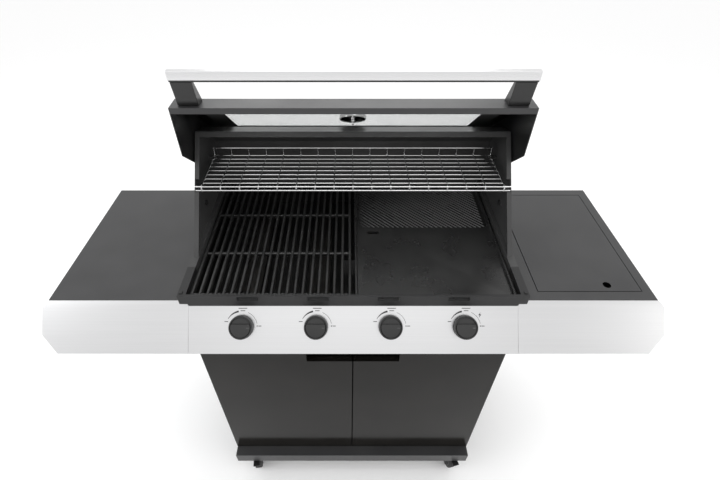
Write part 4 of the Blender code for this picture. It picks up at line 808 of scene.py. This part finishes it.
# ---- black strip under the firebox lip: painted shade standing in for the shadow line between the lip and the control panel
lipShadowLook = {
    "height": 0.0022, "back": 0.0045, "proud": 0.0006, "fromEnds": 0.002, "behindLip": 0.001, "lap": 0.0002,
    "edge": 0.0006, "end": 0.0005, "steps": 3,
}


def buildLipShadow(s):
    # a thin black bar in the gap under the lip, painted shade for the shadow there
    lip = boxOf("firebox_front_lip")[0]
    panelLow, panelHigh = boxOf("control_panel")
    corner = np.array([panelLow[0] + s["fromEnds"], lip[1] - s["proud"] + s["behindLip"],
                       lip[2] - s["height"]])
    far = np.array([panelHigh[0] - s["fromEnds"], lip[1] + s["back"], lip[2] + s["lap"]])
    addPiece("lipShadowLine", [softBar(corner, far, s["edge"], s["end"], s["steps"])], finish["black_rubber"],
             "frame")


buildLipShadow(lipShadowLook)
print("seal ready")

# ---- thermometer: cased dial on the hood's outside, stem and nut inside
dialLook = {
    "radius": 0.0375, "depth": 0.014, "ticks": 21, "sweep": 270.0, "sweepFrom": 225.0, "longEvery": 5,
    "nutTop": -0.0047, "needleAngle": 215.0,
}


def buildDial(s):
    window = np.array([v.co for v in nodes["hood_window"].data.vertices], float)
    normal = np.linalg.svd(window - window.mean(0))[2][2]
    normal *= np.sign(normal[2])
    across = np.array([1.0, 0.0, 0.0])
    up = np.cross(normal, across)
    body = np.array([v.co for v in nodes["thermometer"].data.vertices], float)
    heights = body @ normal
    centre = (body.min(0) + body.max(0)) / 2
    wide = body[np.linalg.norm((body - centre) @ np.stack([across, up], 1), axis=1) > s["radius"] - 0.0005]
    front = (wide @ normal).min()
    base = centre + normal * (front - centre @ normal)
    inside = heights.min() - front
    r, d = s["radius"], s["depth"]
    case = turnedSurface([(0, 0), (r - 0.002, 0), (r, 0.0015), (r, d - 0.0035), (r - 0.0015, d - 0.0012),
                          (r - 0.0035, d - 0.0004), (r - 0.0052, d - 0.0022), (r - 0.0058, d - 0.0042),
                          (0, d - 0.0042)],
                         base, normal, across, 72)
    nutTop = s["nutTop"]
    stem = turnedSurface([(0, inside + 0.0004), (0.0022, inside + 0.0004), (0.003, inside + 0.0014),
                          (0.003, nutTop - 0.006), (0.0042, nutTop - 0.006), (0.0042, 0.0005), (0, 0.0005)],
                         base, normal, across, 24)
    nut = turnedSurface([(0, nutTop - 0.0055), (0.0078, nutTop - 0.0055), (0.0087, nutTop - 0.0048),
                         (0.0087, nutTop - 0.0006), (0.0078, nutTop), (0, nutTop)], base, normal, across, 6)
    addPiece("thermometerCase", [case, stem, nut], finish["dial_steel"], "hood",
             ["thermometer"], sharp=35)
    face = turnedSurface([(0, d - 0.0042), (r - 0.0062, d - 0.0042), (r - 0.0062, d - 0.0039),
                          (0, d - 0.0039)],
                         base, normal, across, 64)
    addPiece("thermometerFace", [face], extra["dialFace"], "hood")
    flat = {"lift": d - 0.0038, "ink": 0.0001}
    parts = []
    for number in range(s["ticks"]):
        angle = np.radians(s["sweepFrom"] - s["sweep"] / (s["ticks"] - 1) * number)
        long = number % s["longEvery"] == 0
        spread = np.radians(1.5 if long else 0.8)
        length = 0.0055 if long else 0.0032
        parts.append(ribbon(base, (across, up, normal), np.array([angle - spread, angle + spread]),
                            np.full(2, r - 0.0085 - length / 2), np.full(2, length), flat))
    addPiece("thermometerTicks", parts, extra["print"], "hood")
    angle = np.radians(s["needleAngle"])
    tip = np.cos(angle) * across + np.sin(angle) * up
    side = np.cross(normal, tip)
    level = base + normal * (d - 0.0034)
    outline = np.array([tip * 0.024, side * 0.0014 - tip * 0.002, -tip * 0.008, -side * 0.0014 - tip * 0.002])
    points = np.concatenate([level + outline, level + outline + normal * 0.0004])
    faces = [(0, 1, 2, 3), (4, 5, 6, 7)] + [(k, (k + 1) % 4, 4 + (k + 1) % 4, 4 + k) for k in range(4)]
    cap = turnedSurface([(0, 0), (0.0032, 0), (0.0032, 0.0006), (0.0024, 0.0012), (0, 0.0012)], level, normal,
                        across, 24)
    addPiece("thermometerNeedle", [(points, faces), cap], extra["needle"], "hood")


buildDial(dialLook)
print("thermometer ready")

# ---- wheels: grooved tyre on a dished hub with webs
wheelLook = {"radius": 0.0375, "width": 0.024, "hub": 0.0285, "bore": 0.0047, "webs": 6}


def buildWheel(s, place):
    joint = jointOf[f"caster_{place}_spin"]
    centre = np.asarray(joint["pos_m"], float)
    axis = np.asarray(joint["axis"], float)
    up = np.array([0.0, 0.0, 1.0])
    r, half, hub, bore = s["radius"], s["width"] / 2, s["hub"], s["bore"]
    # tyre section: flat tread with two grooves, rounded shoulders and a flat side down to the hub
    section = [(hub, -half + 0.0005), (hub + 0.0012, -half), (r - 0.0045, -half),
               (r - 0.0022, -half + 0.0006),
               (r - 0.0006, -half + 0.0022), (r, -half + 0.0045), (r, -0.0045), (r - 0.0012, -0.0038),
               (r - 0.0012, -0.0028), (r, -0.0021), (r, 0.0021), (r - 0.0012, 0.0028), (r - 0.0012, 0.0038),
               (r, 0.0045), (r, half - 0.0045), (r - 0.0006, half - 0.0022), (r - 0.0022, half - 0.0006),
               (r - 0.0045, half), (hub + 0.0012, half), (hub, half - 0.0005)]
    body = f"wheel_{place}"
    addPiece(f"{place}Tyre", [turnedSurface(section, centre, axis, up, 72)], finish["wheel_rubber"], body,
             [f"caster_{place}_wheel"], sharp=50)
    plate = [(bore, -half), (0.0115, -half), (0.0125, -half + 0.0008), (0.0135, -half + 0.006),
             (hub - 0.004, -half + 0.006),
             (hub - 0.0028, -half + 0.0012), (hub - 0.0002, -half + 0.0008), (hub - 0.0002, half - 0.0008),
             (hub - 0.0028, half - 0.0012), (hub - 0.004, half - 0.006), (0.0135, half - 0.006),
             (0.0125, half - 0.0008), (0.0115, half), (bore, half)]
    parts = [turnedSurface(plate, centre, axis, up, 60)]
    for number in range(s["webs"]):
        angle = 2 * np.pi * number / s["webs"]
        out = np.cos(angle) * up + np.sin(angle) * np.cross(axis, up)
        for side in (-1, 1):
            level = centre + axis * side * (half - 0.0042)
            start, end = level + out * 0.012, level + out * (hub - 0.003)
            t = np.linspace(0, 1, 2)[:, None]
            parts.append(carried(roundedBox(0.0028, 0.0044, 0.0007, 3), (1 - t) * start + t * end, axis))
    addPiece(f"{place}Hub", parts, extra["hub"], body, sharp=35)


for place in ("front_left", "front_right", "back_left", "back_right"):
    buildWheel(wheelLook, place)
print("wheels ready")
